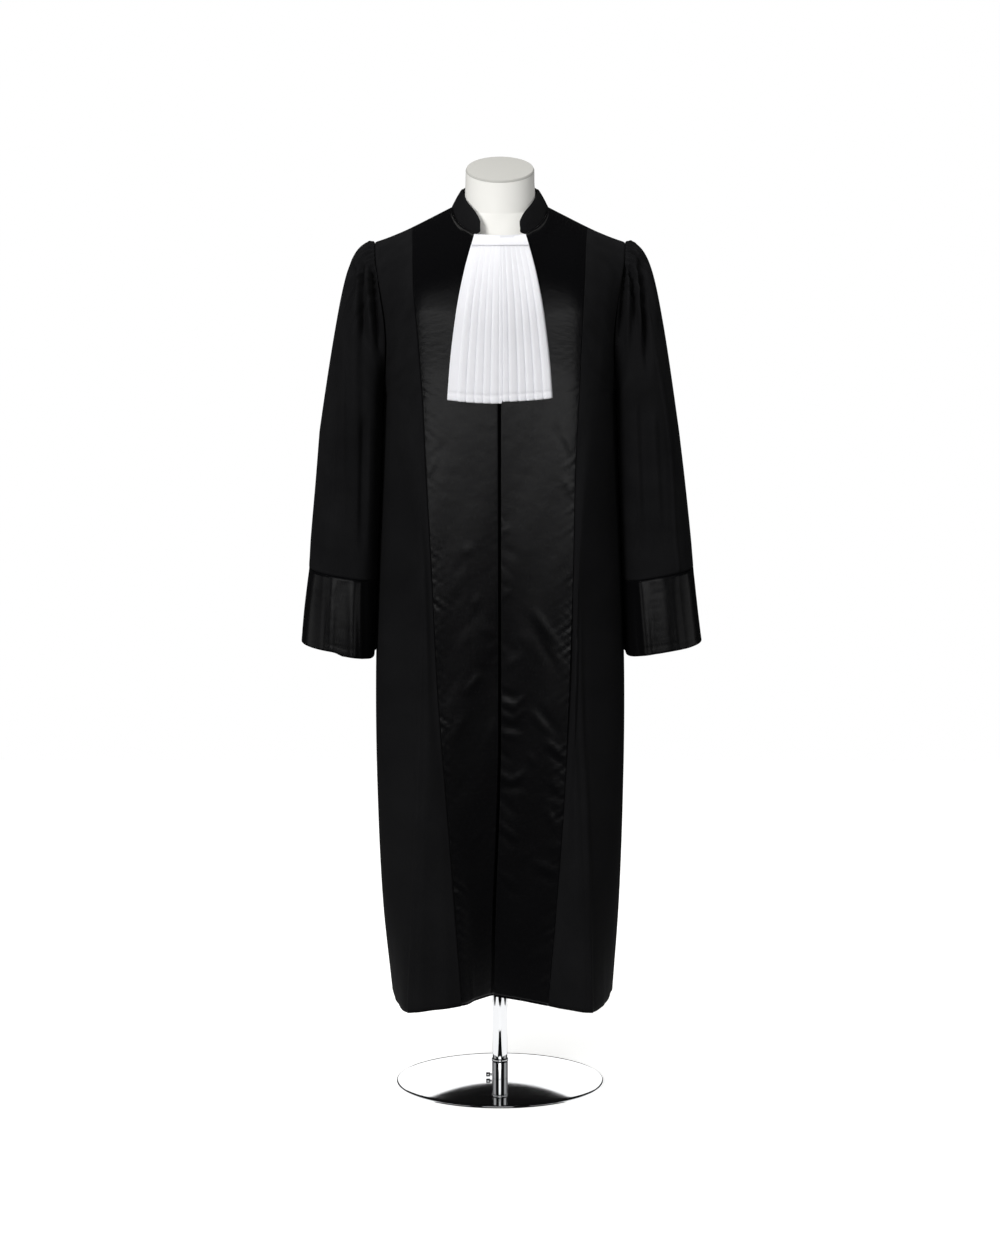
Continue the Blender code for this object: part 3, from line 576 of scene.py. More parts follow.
STITCH_SHARE, STITCH_SINK, STITCH_HALF = 0.42, 0.0006, 0.0016
SEAM_TURN, SEAM_SINK, SEAM_HALF = 0.006, 0.0014, 0.0024
PUCKER_PITCH, PUCKER_HEIGHT, PUCKER_REACH = 0.0145, 0.0011, 0.016
EDGE_PUCKER_HEIGHT, EDGE_PUCKER_REACH = 0.00035, 0.008


def chest_hollow(z):
    """How far the fronts fall back over the chest, below the shoulders."""
    return CHEST_HOLLOW * bell(z - CHEST_Z, CHEST_HALF)


def seam_pucker(distance, z, side, height, reach):
    """Short slanting wrinkles beside a seam that was sewn a little tight."""
    uneven = z + 0.0030 * np.sin(61 * z + 2 * side) + 0.0017 * np.sin(149 * z)
    wave = np.sin(2 * pi * (uneven + 0.55 * distance) / PUCKER_PITCH)
    strength = 0.65 + 0.35 * np.sin(23 * z + side)
    return height * wave * strength * np.exp(-distance / reach)


for side in (RIGHT, LEFT):

    def satin_shape(u, v, side=side):
        share = u if side == LEFT else mix(1.0, -LAP / 0.12, u)
        points = body_point(side, FRONT, SEAM_U * np.clip(share, 0, 1), v)
        lapped = np.clip(-share, 0, 1)
        points[:, 0] += lapped * 0.12
        dive = mix(1.5, 0.3, ease((points[:, 2] - 1.27) / 0.03))
        dive = mix(0.6, dive, ease((points[:, 2] - 0.24) / 0.12))
        points[:, 1] += np.minimum(lapped * 0.12 * dive, 0.020)
        return points

    def satin_relief(points, u, v, side=side):
        share = u if side == LEFT else mix(1.0, -LAP / 0.12, u)
        x, z = points[:, 0], points[:, 2]
        wide = np.abs(column(LEVELS, "seam_" + side_name(side), z))
        from_seam = (1 - share) * wide
        total = wrinkled(WRINKLES[side], x, z)
        tight = mix(1.0, 0.45, ease((z - 0.85) / 0.25)) * (1 - ease((z - 1.30) / 0.12))
        total += tight * seam_pucker(from_seam, z, side, PUCKER_HEIGHT, PUCKER_REACH)
        total -= SEAM_SINK * bell(from_seam, SEAM_HALF) + chest_hollow(z)
        stitched = ease((z - 0.74) / 0.06) * (1 - ease((z - 1.40) / 0.05))
        total -= STITCH_SINK * bell((share - STITCH_SHARE) * wide, STITCH_HALF) * stitched
        from_edge = np.maximum(share, 0) * wide
        edge_pucker = seam_pucker(from_edge, z + 0.4, side, EDGE_PUCKER_HEIGHT, EDGE_PUCKER_REACH)
        total += edge_pucker * (1 - ease((z - 1.1) / 0.2))
        total += 0.0009 * np.sin(34 * x + 5 * z + side) * ease((1.2 - z) / 0.5)
        total += 0.0006 * np.sin(71 * x - 17 * z) * np.sin(9 * z + 1) * ease((1.25 - z) / 0.4)
        return total * ease((share + 0.02) / 0.02)

    piece = cloth_piece(
        f"satin_front_{side_name(side)}_cloth", (96, 360), satin_shape, satin_relief, (0.15, 1.40),
        SATIN_THICK, satin, crowd=0.72,
    )
    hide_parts(f"satin_front_{side_name(side)}")

# Pressed creases in the matte fronts run down as fine light ridges to the corners of the hem.
Ridge = namedtuple("Ridge", "z x")
RIDGE_HEIGHT, RIDGE_HALF = 0.0044, 0.0050
TROUGH_DEPTH, TROUGH_HALF, TROUGH_SHARE = 0.0040, 0.026, 0.55
SEAM_STEP, SEAM_STEP_HALF = 0.0026, 0.0032
FRONT_RIDGE = {
    RIGHT: [
        Ridge(0.17, -0.1615),
        Ridge(0.34, -0.1545),
        Ridge(0.54, -0.1465),
        Ridge(0.74, -0.1400),
        Ridge(1.00, -0.1400),
    ],
    LEFT: [
        Ridge(0.17, 0.1620),
        Ridge(0.34, 0.1590),
        Ridge(0.54, 0.1530),
        Ridge(0.74, 0.1440),
        Ridge(0.92, 0.1430),
    ],
}


def at_side_seam(relief, distance, z):
    """The relief brought level at a side seam, full under the arm and sunk along the armhole."""
    seam = bell(distance, 0.006)
    return relief * (1 - seam) + mix(0.0009, -0.0008, ease((z - 1.285) / 0.02)) * seam


for side in (RIGHT, LEFT):

    def side_shape(u, v, side=side):
        share = u if side == LEFT else 1 - u
        return body_point(side, FRONT, mix(SEAM_U - SEAM_TURN, 1.0, share), v)

    def side_relief(points, u, v, side=side):
        share = u if side == LEFT else 1 - u
        x, z = points[:, 0], points[:, 2]
        ridge = column(FRONT_RIDGE[side], "x", z)
        low = 1 - ease((z - 0.75) / 0.2)
        seam = side * column(LEVELS, "seam_" + side_name(side), z)
        trough = TROUGH_DEPTH * bell(x - mix(seam, ridge, TROUGH_SHARE), TROUGH_HALF)
        total = low * (RIDGE_HEIGHT * bell(x - ridge, RIDGE_HALF) - trough)
        total += 0.0010 * bell(x - side * 0.186, 0.005) * (1 - ease((z - 0.20) / 0.12))
        total += 0.0012 * np.sin(52 * x + 3 * z + side) * ease((1.3 - z) / 0.6)
        total -= SEAM_STEP * bell((share + SEAM_TURN) * 0.12, SEAM_STEP_HALF)
        total -= chest_hollow(z) * (1 - ease(share / 0.7))
        return at_side_seam(total, (1 - share) * 0.08, z)

    piece = cloth_piece(
        f"side_front_{side_name(side)}_cloth", (80, 240), side_shape, side_relief, (0.20, 1.38), WOOL_THICK,
        suiting, crowd=0.72,
    )
    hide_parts(f"front_{side_name(side)}")


def back_shape(u, v):
    """The back, from the wearer's left side seam round to the right one."""
    across = 1 - 2 * u
    left = body_point(LEFT, BACK, np.clip(across, 0, 1), v)
    right = body_point(RIGHT, BACK, np.clip(-across, 0, 1), v)
    points = np.where((across > 0)[:, None], left, right)
    points[:, 1] += SHOULDER_GAP * (1 - ease((1 - np.abs(across)) / 0.02))
    return points


BACK_WRINKLES = [
    (-60, 1515, -175, 1475, 18, 1.6), (70, 1505, 180, 1470, 18, 1.4), (-150, 1380, -105, 1200, 16, 2.2),
    (-170, 1330, -140, 1120, 16, -2.2), (155, 1370, 112, 1190, 16, 2), (172, 1320, 138, 1140, 16, -2.2),
    (-30, 1420, -10, 1220, 20, -1.4), (45, 1400, 30, 1210, 20, 1.4),
]


def back_relief(points, u, v):
    x, z = points[:, 0], points[:, 2]
    total = wrinkled(BACK_WRINKLES, x, z)
    total += 0.0022 * np.sin(47 * x + 2 * z) * ease((1.35 - z) / 0.8)
    total += 0.0010 * np.sin(83 * x - 4 * z + 1) * ease((1.1 - z) / 0.8)
    return at_side_seam(total, (1 - np.abs(1 - 2 * u)) * 0.25, z)


piece = cloth_piece(
    "back_cloth", (130, 230), back_shape, back_relief, (0.56, 1.44), WOOL_THICK, suiting
)
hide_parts("back")

# The stand collar: a strip of the suiting over firm interlining, folded at its upper edge and sewn to the
# neckline, with its front corners rounded off. It stands open at the throat.
COLLAR_LIFT = 0.0002
COLLAR_THICK = 0.0022
COLLAR_ROUND, COLLAR_BACK = 0.85, 1.3
CollarTop = namedtuple("CollarTop", "face u x y z")
COLLAR_TOP = [
    CollarTop(FRONT, 0.100, 0.0343, -0.0800, 1.5680),
    CollarTop(FRONT, 0.115, 0.0352, -0.0745, 1.5765),
    CollarTop(FRONT, 0.150, 0.0430, -0.0625, 1.5905),
    CollarTop(FRONT, 0.200, 0.0535, -0.0475, 1.6025),
    CollarTop(FRONT, 0.235, 0.0605, -0.0310, 1.6110),
    CollarTop(FRONT, 0.265, 0.0652, -0.0150, 1.6200),
    CollarTop(FRONT, NECK_U, 0.0683, 0.0000, 1.6290),
    CollarTop(BACK, 0.260, 0.0660, 0.0180, 1.6300),
    CollarTop(BACK, 0.220, 0.0590, 0.0350, 1.6340),
    CollarTop(BACK, 0.170, 0.0470, 0.0500, 1.6385),
    CollarTop(BACK, 0.110, 0.0320, 0.0600, 1.6415),
    CollarTop(BACK, 0.055, 0.0160, 0.0645, 1.6430),
    CollarTop(BACK, 0.000, 0.0000, 0.0660, 1.6435),
]


def collar_shape(u, v):
    """The collar from its wearer's left front corner round the nape to the right one."""
    last = len(COLLAR_TOP) - 1
    cut = COLLAR_ROUND * (1 - np.sqrt(1 - np.clip((v - 0.35) / 0.65, 0, 1) ** 2))
    cut = cut + COLLAR_BACK * (1 - ease(v / 0.5))
    across = np.abs(1 - 2 * u) * (last - cut)
    stops = np.arange(last + 1)
    rows = COLLAR_TOP[::-1]
    seams = [[float(a[0]) for a in top_edge(row.face, np.array([row.u]))] for row in rows]
    low = [through(stops, [seam[axis] for seam in seams], across) for axis in range(3)]
    high = [through(stops, [row[axis + 2] for row in rows], across) for axis in range(3)]
    low[2] = low[2] + COLLAR_LIFT
    points = np.stack([mix(low[axis], high[axis], v) for axis in range(3)], axis=1)
    points[:, 0] *= np.where(u < 0.5, 1, -1)
    return points


def collar_relief(points, u, v):
    fold = 0.0006 * bell((1 - v) * 0.04, 0.004)
    return 0.0006 * np.sin(pi * v) + 0.0004 * np.sin(75 * u) * v * (1 - v) - fold


def soften_edges(piece, name):
    """Rounds off the folded edges of a thick piece of cloth."""
    edge = piece.modifiers.new(name, "BEVEL")
    edge.width = 0.0008
    edge.segments = 2
    edge.limit_method = "ANGLE"


collar = cloth_piece(
    "collar_cloth", (150, 14), collar_shape, collar_relief, (0.40, 0.042),
    COLLAR_THICK, suiting,
)
soften_edges(collar, "turned_edge")
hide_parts("collar")

# The sleeves: one piece of suiting each, cut much wider than the armhole. Three rows of shirring draw its
# head in over the shoulder; the fullness falls from there in soft folds, past a pressed crease down its
# front.
HEAD_LEVEL, CUFF_SEAM, CUFF_HEM = 1.20, 0.9485, 0.8105
CUFF_SLANT, CUFF_MIDDLE = 0.17, 0.285
CUFF_TUCK = 0.0012
SLEEVE_SQUARE, SLEEVE_FLAT = 0.75, 0.55
ARMHOLE_GAP, UNDERARM_GAP = 0.0008, 0.0003
CUFF_WRAP, SLEEVE_WRAP, UNDERARM_WRAP = 0.0070, 0.0032, 0.0032
HEAD_OUT_TOP, HEAD_OUT_LOW = 0.050, 0.0008
HEAD_DROP, HEAD_FULL, HEAD_LEAN = 0.020, 0.240, 0.035
HEAD_SHARE = 0.55
FINE_GATHER, COARSE_GATHER, FOLD_STRENGTH = 0.0032, 0.0026, 3.2
CREASE_HEIGHT, CREASE_HALF = 0.0022, 0.0046

SleeveLevel = namedtuple("SleeveLevel", "z outer_right outer_left inner front_y back_y")
SLEEVE = [
    SleeveLevel(0.79, 0.3600, 0.3665, 0.2275, -0.110, 0.104),
    SleeveLevel(0.865, 0.3533, 0.3569, 0.2236, -0.106, 0.102),
    SleeveLevel(0.95, 0.3432, 0.3476, 0.2205, -0.101, 0.100),
    SleeveLevel(1.00, 0.3398, 0.3433, 0.2188, -0.099, 0.099),
    SleeveLevel(1.11, 0.3300, 0.3318, 0.2142, -0.097, 0.098),
    SleeveLevel(1.20, 0.3225, 0.3210, 0.2110, -0.096, 0.098),
]

# Folds that run down a sleeve, each by its line on the front (or the back) and its depth, in millimetres.
SleeveFold = namedtuple("SleeveFold", "face x1 z1 x2 z2 width depth")
SLEEVE_FOLDS = {
    RIGHT: [
        (FRONT, 247, 1500, 239.5, 1345, 9.5, -5), (FRONT, 226, 1495, 210, 1330, 7.5, -5),
        (FRONT, 236, 1495, 224, 1330, 8, 3), (FRONT, 262, 1500, 264, 1380, 9, -2.2),
        (FRONT, 255, 1440, 256, 1120, 13, 2.2), (FRONT, 292, 1300, 302, 1000, 12, -1.8),
        (FRONT, 240, 1230, 246, 960, 11, -2.2), (BACK, 250, 1490, 245, 1320, 12, -5),
        (BACK, 232, 1480, 220, 1280, 10, -4), (BACK, 268, 1430, 275, 1150, 13, 3),
        (BACK, 290, 1320, 305, 980, 14, -2.8), (BACK, 250, 1230, 250, 960, 12, -3),
    ],
    LEFT: [
        (FRONT, 248, 1505, 263.5, 1290, 10.5, -5.5), (FRONT, 231, 1495, 241.5, 1375, 7, -3.5),
        (FRONT, 221, 1500, 209, 1350, 7, -4.5), (FRONT, 241, 1498, 253, 1340, 7.5, 3),
        (FRONT, 226, 1480, 226, 1330, 7, 2.5), (FRONT, 262, 1500, 280, 1380, 8, 1.5),
        (FRONT, 250, 1260, 262, 970, 12, -2), (FRONT, 270, 1240, 284, 990, 11, 1.8),
        (BACK, 252, 1490, 248, 1310, 12, -5), (BACK, 233, 1480, 221, 1290, 10, -4),
        (BACK, 270, 1430, 278, 1160, 13, 3), (BACK, 295, 1300, 308, 970, 14, -2.8),
        (BACK, 254, 1220, 252, 960, 12, -3),
    ],
}
SLEEVE_CREASE = {
    RIGHT: [Ridge(0.79, 0.2990), Ridge(0.964, 0.2805), Ridge(1.190, 0.2769), Ridge(1.390, 0.2757)],
    LEFT: [
        Ridge(0.79, 0.3230),
        Ridge(0.959, 0.3174),
        Ridge(1.012, 0.3117),
        Ridge(1.190, 0.3000),
        Ridge(1.362, 0.2723),
    ],
}


def sleeve_ring(side, angle, z):
    """The hanging sleeve's section at height z on the +X side, angle 0 outside and pi next to the body."""
    outer = column(SLEEVE, "outer_" + side_name(side), z)
    inner = column(SLEEVE, "inner", z)
    reach = np.where(np.sin(angle) > 0, column(SLEEVE, "front_y", z), column(SLEEVE, "back_y", z))
    square = np.where(np.cos(angle) > 0, SLEEVE_SQUARE, SLEEVE_FLAT)
    across = np.sign(np.cos(angle)) * np.abs(np.cos(angle)) ** square
    x = (outer + inner) / 2 + (outer - inner) / 2 * across
    y = reach * np.abs(np.sin(angle)) ** square
    wrap = mix(CUFF_WRAP, SLEEVE_WRAP, ease((z - 0.95) / 0.1))
    return np.stack([x - wrap * np.maximum(-across, 0) * ease(y / 0.05), y, z], axis=1)


def sleeve_angle(side, u):
    """The place round the sleeve, as seen from outside it."""
    return 2 * pi * np.mod(u if side == RIGHT else 1 - u, 1.0)


for side in (RIGHT, LEFT):

    def sleeve_shape(u, v, side=side):
        angle = sleeve_angle(side, u)
        lift = (1 + np.cos(angle)) / 2
        low_share = np.clip(v / (1 - HEAD_SHARE), 0, 1)
        z = mix(CUFF_SEAM - CUFF_TUCK, HEAD_LEVEL, low_share)
        hanging = sleeve_ring(side, angle, z)
        hanging[:, 2] += CUFF_SLANT * (hanging[:, 0] - CUFF_MIDDLE) * (1 - low_share)
        t = np.clip((1 - v) / HEAD_SHARE, 0, 1)[:, None]
        x, y, z = armhole(angle)
        start = np.stack([x + ARMHOLE_GAP + UNDERARM_GAP * (1 - lift), y, z], axis=1)
        end = sleeve_ring(side, angle, np.full_like(u, HEAD_LEVEL))
        out_x = mix(HEAD_OUT_LOW, HEAD_OUT_TOP, lift)
        out = start + np.stack([out_x, -HEAD_OUT_LOW * np.sin(angle), -HEAD_DROP * (1 - lift)], axis=1)
        above = end + np.stack([-HEAD_LEAN * lift, 0 * lift, mix(0.03, HEAD_FULL, lift)], axis=1)
        head = start * (1 - t) ** 3 + out * 3 * t * (1 - t) ** 2 + above * 3 * t**2 * (1 - t) + end * t**3
        y, z = head[:, 1], head[:, 2]
        under_arm = ease((-np.cos(angle) - 0.6) / 0.3) * ease((y - 0.018) / 0.02) * ease((1.285 - z) / 0.015)
        head[:, 0] -= UNDERARM_WRAP * under_arm * (1 - ease((t[:, 0] - 0.75) / 0.25))
        points = np.where((v < 1 - HEAD_SHARE)[:, None], hanging, head)
        points[:, 0] *= side
        return points

    def sleeve_relief(points, u, v, side=side):
        degrees = np.degrees(sleeve_angle(side, u))
        degrees = np.where(degrees > 180, degrees - 360, degrees)
        x, y, z = side * points[:, 0], points[:, 1], points[:, 2]
        over = 1 - ease((np.abs(degrees) - 62) / 30)
        from_seam = (1 - v) / HEAD_SHARE
        jitter = 0.5 * np.sin(degrees * 0.19 + side) + 0.3 * np.sin(degrees * 0.47)
        fine = np.sin(degrees * 1.05 + jitter * 2)
        fine *= ease(from_seam / 0.02) * (1 - ease((from_seam - 0.05) / 0.12))
        rows = 0.8 + 0.2 * np.cos(2 * pi * from_seam / 0.060)
        coarse = np.sin(degrees * 0.36 + jitter * 3)
        coarse *= ease(from_seam / 0.10) * (1 - ease((from_seam - 0.20) / 0.5))
        total = over * (FINE_GATHER * fine * rows + COARSE_GATHER * coarse)
        total -= 0.0012 * bell(from_seam, 0.012)
        for row in SLEEVE_FOLDS[side]:
            fold = SleeveFold(row[0], *[part / 1000 for part in row[1:]])
            down = (fold.z1 - z) / (fold.z1 - fold.z2)
            line = mix(fold.x1, fold.x2, down)
            taper = ease(down / 0.15 + 0.3) * (1 - ease((down - 0.55) / 0.45))
            facing = ease(fold.face * y / 0.03)
            total += FOLD_STRENGTH * fold.depth * bell(x - line, fold.width) * taper * facing
        crease = bell(x - column(SLEEVE_CREASE[side], "x", z), CREASE_HALF) * ease(-y / 0.02)
        total += CREASE_HEIGHT * crease * (1 - ease((z - 1.30) / 0.10))
        away = 1 - ease((-np.cos(np.radians(degrees)) - 0.3) / 0.4)
        total += 0.0010 * away * np.sin(43 * x + 6 * z + side) * ease((1.4 - z) / 0.2)
        return total * ease(v / 0.02 + 0.3)

    piece = cloth_piece(
        f"sleeve_{side_name(side)}_cloth", (216, 150), sleeve_shape, sleeve_relief, (0.52, 0.60), WOOL_THICK,
        suiting, closed=True, crowd=0.6,
    )
    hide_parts(f"sleeve_{side_name(side)}")

# The cuffs: deep bands of the satin, doubled and turned under at the hem, cut to flare a little. They hang
# open and round, with a few soft flutes where the seam has eased them.
Flute = namedtuple("Flute", "x_top x_low width depth")
CUFF_FLUTES = {
    RIGHT: [
        Flute(0.3153, 0.3162, 0.010, 0.0007),
        Flute(0.2994, 0.3002, 0.008, 0.0006),
        Flute(0.2860, 0.2890, 0.011, -0.0016),
        Flute(0.2621, 0.2629, 0.012, 0.0030),
        Flute(0.2400, 0.2380, 0.010, -0.0030),
    ],
    LEFT: [
        Flute(0.2497, 0.2647, 0.011, 0.0016),
        Flute(0.2660, 0.2760, 0.010, -0.0009),
        Flute(0.2799, 0.2860, 0.010, 0.0009),
        Flute(0.2994, 0.3109, 0.011, -0.0009),
        Flute(0.3171, 0.3341, 0.010, 0.0010),
        Flute(0.2380, 0.2480, 0.010, -0.0026),
    ],
}

for side in (RIGHT, LEFT):

    def cuff_shape(u, v, side=side):
        points = sleeve_ring(side, sleeve_angle(side, u), mix(CUFF_HEM, CUFF_SEAM - 0.0004, v))
        points[:, 2] += CUFF_SLANT * (points[:, 0] - CUFF_MIDDLE)
        if side == RIGHT:
            stepped = ease((0.2935 - points[:, 0]) / 0.004) * ease(-points[:, 1] / 0.02)
            points[:, 2] -= 0.0045 * stepped * (1 - v) ** 5
        points[:, 0] *= side
        return points

    def cuff_relief(points, u, v, side=side):
        x, y = side * points[:, 0], points[:, 1]
        total = -0.0019 * bell(1 - v, 0.022) - 0.0003 * bell(v - 0.09, 0.02)
        for flute in CUFF_FLUTES[side]:
            line = mix(flute.x_low, flute.x_top, v)
            total += flute.depth * bell(x - line, flute.width) * ease(np.abs(y) / 0.03) * (1 - 0.5 * v)
        total += 0.0004 * np.sin(160 * x + 7 * v) * ease((v - 0.75) / 0.25)
        return total * ease((x - 0.229) / 0.012)

    piece = cloth_piece(
        f"cuff_{side_name(side)}_cloth", (160, 40), cuff_shape, cuff_relief, (0.56, 0.145),
        SATIN_THICK, satin, closed=True,
    )
    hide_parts(f"cuff_{side_name(side)}")

# The jabot: a strip of white polyester crepe set in knife pleats, every folded edge towards the wearer's
# right, its lower edge turned up and its head caught in a plain band.
JABOT_LOW, JABOT_TOP = 1.2635, 1.5360
JABOT_CORNER_RISE = 0.006
CREPE_THICK = 0.0006
ON_CLOTH, OFF_CHEST = 0.0008, 0.0028
CHEST_LOW, CHEST_HIGH = 1.34, 1.48
PLEAT_EDGES = [0.0, 0.106, 0.185, 0.266, 0.347, 0.416, 0.496, 0.532, 0.592, 0.682, 0.757, 0.836, 0.919, 1.0]
PLEAT_DEPTH = [0.0, 0.9, 0.9, 0.9, 0.9, 0.9, 0.6, 1.0, 1.3, 1.1, 1.1, 1.1, 1.0]
FOLD_HEIGHT = 0.0058

Width = namedtuple("Width", "z half")
JABOT_WIDTH = [
    Width(1.260, 0.0927),
    Width(1.281, 0.0915),
    Width(1.334, 0.0873),
    Width(1.386, 0.0813),
    Width(1.439, 0.0735),
    Width(1.492, 0.0624),
    Width(1.527, 0.0530),
    Width(1.552, 0.0455),
]


def jabot_ground(x, z):
    """How far forward the robe's front is under the jabot."""
    right = body_at(RIGHT, FRONT, SEAM_U * np.minimum(np.abs(x) / column(LEVELS, "seam_right", z), 1.0), z)
    left = body_at(LEFT, FRONT, SEAM_U * np.minimum(np.abs(x) / column(LEVELS, "seam_left", z), 1.0), z)
    return np.where(x < 0, right[:, 1], left[:, 1])


PLEAT_SHARES = [0.0, 0.02, 0.06, 0.30, 0.55, 0.72, 0.84, 1.0]
PLEAT_HEIGHTS = [0.0, 0.88, 1.0, 0.88, 0.75, 0.64, 0.44, 0.0]


def jabot_shape(u, v):
    """The pleats, column by column: each rises steeply to its folded edge and slopes off under the next."""
    per = len(PLEAT_SHARES) - 1
    step = np.clip(u * per * (len(PLEAT_EDGES) - 1), 0, per * (len(PLEAT_EDGES) - 1) - 1e-9)
    pleat = (step / per).astype(int)
    within = step - pleat * per
    edges = np.array(PLEAT_EDGES)
    share = np.interp(within, range(per + 1), PLEAT_SHARES)
    height = np.interp(within, range(per + 1), PLEAT_HEIGHTS) * np.array(PLEAT_DEPTH)[pleat]
    across = edges[pleat] + (edges[pleat + 1] - edges[pleat]) * share
    overhang = 0.006 * np.interp(within, range(per + 1), [0, 0.6, 1, 0.3, 0, 0, 0, 0])
    overhang = overhang * (pleat > 0) * (1 - 0.6 * v)
    half_lower = -0.0035 * (across < 0.52) * (1 - v) ** 6
    z = mix(JABOT_LOW + half_lower + JABOT_CORNER_RISE * (2 * across - 1) ** 2, JABOT_TOP, v)
    x = column(JABOT_WIDTH, "half", z) * (2 * (across - overhang) - 1)
    clear = ON_CLOTH + OFF_CHEST * ease((z - CHEST_LOW) / (CHEST_HIGH - CHEST_LOW))
    flat_head = 1 - 0.84 * ease((v - 0.55) / 0.45)
    hem = 0.0012 * bell(v - 0.046, 0.012)
    y = jabot_ground(x, z) - clear - 0.0011 - FOLD_HEIGHT * height * flat_head + hem
    return np.stack([x, y, z], axis=1)


def no_relief(points, u, v):
    return 0 * u


# White polyester crepe, heat-set in its pleats: matt, slightly pebbled by its high-twist yarn, faintly
# see-through at its edges. The pebble is 0.5 mm across.
crepe, tree, shader = new_material("white_polyester_crepe")
cloth_uv = add_node(tree, "ShaderNodeUVMap", uv_map="cloth").outputs[0]
pebble = noise(tree, cloth_uv, 2000.0, 1.0)
crepe_values = {
    "Base Color": two_tones(tree, noise(tree, cloth_uv, 30.0, 2.0), "#dddde1", "#e3e3e6"),
    "Roughness": spread(tree, pebble, 0.70, 0.85),
    "Normal": bump(tree, pebble, 0.15, 0.0001),
    "Specular IOR Level": 0.3,
    "Sheen Weight": 0.05,
}
wire(tree, shader, crepe_values)

pleat_columns = (len(PLEAT_SHARES) - 1) * (len(PLEAT_EDGES) - 1)
jabot = cloth_piece(
    "jabot_cloth", (pleat_columns, 110), jabot_shape, no_relief, (0.30, 0.275),
    CREPE_THICK, crepe,
)
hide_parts("jabot")

BAND_HEIGHT, BAND_GAP, BAND_OFF, BAND_CURVE = 0.0148, 0.0008, 0.0086, 0.002


def band_shape(u, v):
    """The band across the heads of the pleats, which dips a little at its middle."""
    z = JABOT_TOP + BAND_GAP - 0.002 * (1 - v) + BAND_HEIGHT * v + BAND_CURVE * (2 * u - 1) ** 2 * v
    x = column(JABOT_WIDTH, "half", z) * (2 * u - 1)
    return np.stack([x, jabot_ground(x, z) - BAND_OFF, z], axis=1)


def band_relief(points, u, v):
    return 0.0006 * np.sin(pi * v) + 0.0003 * np.sin(95 * u) * (1 - v)


BAND_THICK = 0.0026
band = cloth_piece(
    "jabot_band_cloth", (48, 8), band_shape, band_relief, (0.094, 0.016), BAND_THICK, crepe
)
soften_edges(band, "folded_edge")
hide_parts("jabot_band")

# The dress form: a limbless moulded shell, smooth and matt white, with a short neck cut off on a slant
# under a flat grey cap. The pole goes up into its underside.
NECK_TILT = radians(20.6)
FORM_LOW = 0.800
FormRing = namedtuple("FormRing", "z half_x front back lean tilt peak")
FORM = [
    FormRing(FORM_LOW, 0.142, 0.098, 0.098, 0.0, 0.0, 1.0),
    FormRing(FORM_LOW + 0.012, 0.156, 0.110, 0.108, 0.0, 0.0, 1.0),
    FormRing(0.860, 0.168, 0.118, 0.114, 0.0, 0.0, 1.0),
    FormRing(0.930, 0.170, 0.116, 0.112, 0.0, 0.0, 1.0),
    FormRing(1.030, 0.152, 0.102, 0.096, 0.0, 0.0, 1.0),
    FormRing(1.120, 0.138, 0.094, 0.088, 0.0, 0.0, 1.0),
    FormRing(1.220, 0.150, 0.106, 0.094, 0.0, 0.0, 1.0),
    FormRing(1.320, 0.166, 0.118, 0.100, 0.0, 0.0, 1.0),
    FormRing(1.400, 0.178, 0.112, 0.104, 0.0, 0.0, 1.0),
    FormRing(1.460, 0.188, 0.100, 0.098, 0.0, 0.0, 1.0),
    FormRing(1.510, 0.194, 0.088, 0.080, 0.0, 0.0, 1.2),
    FormRing(1.535, 0.1905, 0.072, 0.064, 0.0, 0.0, 1.6),
    FormRing(1.5464, 0.1855, 0.065, 0.040, 0.0, 0.0, 2.0),
    FormRing(1.5607, 0.1540, 0.0615, 0.037, 0.0, 0.0, 2.0),
    FormRing(1.5770, 0.1205, 0.0595, 0.037, 0.0, 0.03, 2.2),
    FormRing(1.5910, 0.0880, 0.058, 0.042, -0.001, 0.09, 1.9),
    FormRing(1.6040, 0.0660, 0.056, 0.053, -0.003, 0.22, 1.2),
    FormRing(1.6350, 0.0617, 0.056, 0.054, -0.004, 0.33, 1.0),
    FormRing(1.6648, 0.0610, 0.057, 0.055, -0.005, tan(NECK_TILT), 1.0),
]

# Moulded fibreglass sprayed with matt white paint: an even, warm white with the faintest orange-peel, 2 mm
# wide.
shell_paint, tree, shader = new_material("matt_white_moulded_shell")
place = add_node(tree, "ShaderNodeTexCoord").outputs["Object"]
cloud = noise(tree, place, 18.0, 2.0)
shell_values = {
    "Base Color": two_tones(tree, cloud, "#ebeae5", "#f1f0eb"),
    "Roughness": spread(tree, cloud, 0.48, 0.58),
    "Normal": bump(tree, noise(tree, place, 500.0, 1.0), 0.08, 0.0002),
}
wire(tree, shader, shell_values)

bm = bmesh.new()
FORM_SEGMENTS, FORM_RINGS = 96, 120
bmesh.ops.create_grid(bm, x_segments=FORM_SEGMENTS, y_segments=FORM_RINGS, size=0.5)
u = np.array([vert.co.x for vert in bm.verts]) + 0.5
v = np.array([vert.co.y for vert in bm.verts]) + 0.5
rings = np.arange(len(FORM))
half_x, front, back, lean, tilt, height, peak = [
    through(rings, [getattr(ring, name) for ring in FORM], v * rings[-1])
    for name in ("half_x", "front", "back", "lean", "tilt", "z", "peak")
]
angle = 2 * pi * np.mod(u, 1.0)
turn = np.sin(angle)
y = lean + np.where(turn > 0, -front * np.abs(turn) ** peak, -back * turn)
for vert, x, y, z in zip(bm.verts, -half_x * np.cos(angle), y, height + tilt * y):
    vert.co = (x, y, z)
bmesh.ops.remove_doubles(bm, verts=bm.verts, dist=1e-6)
bmesh.ops.holes_fill(bm, edges=[edge for edge in bm.edges if edge.is_boundary], sides=0)


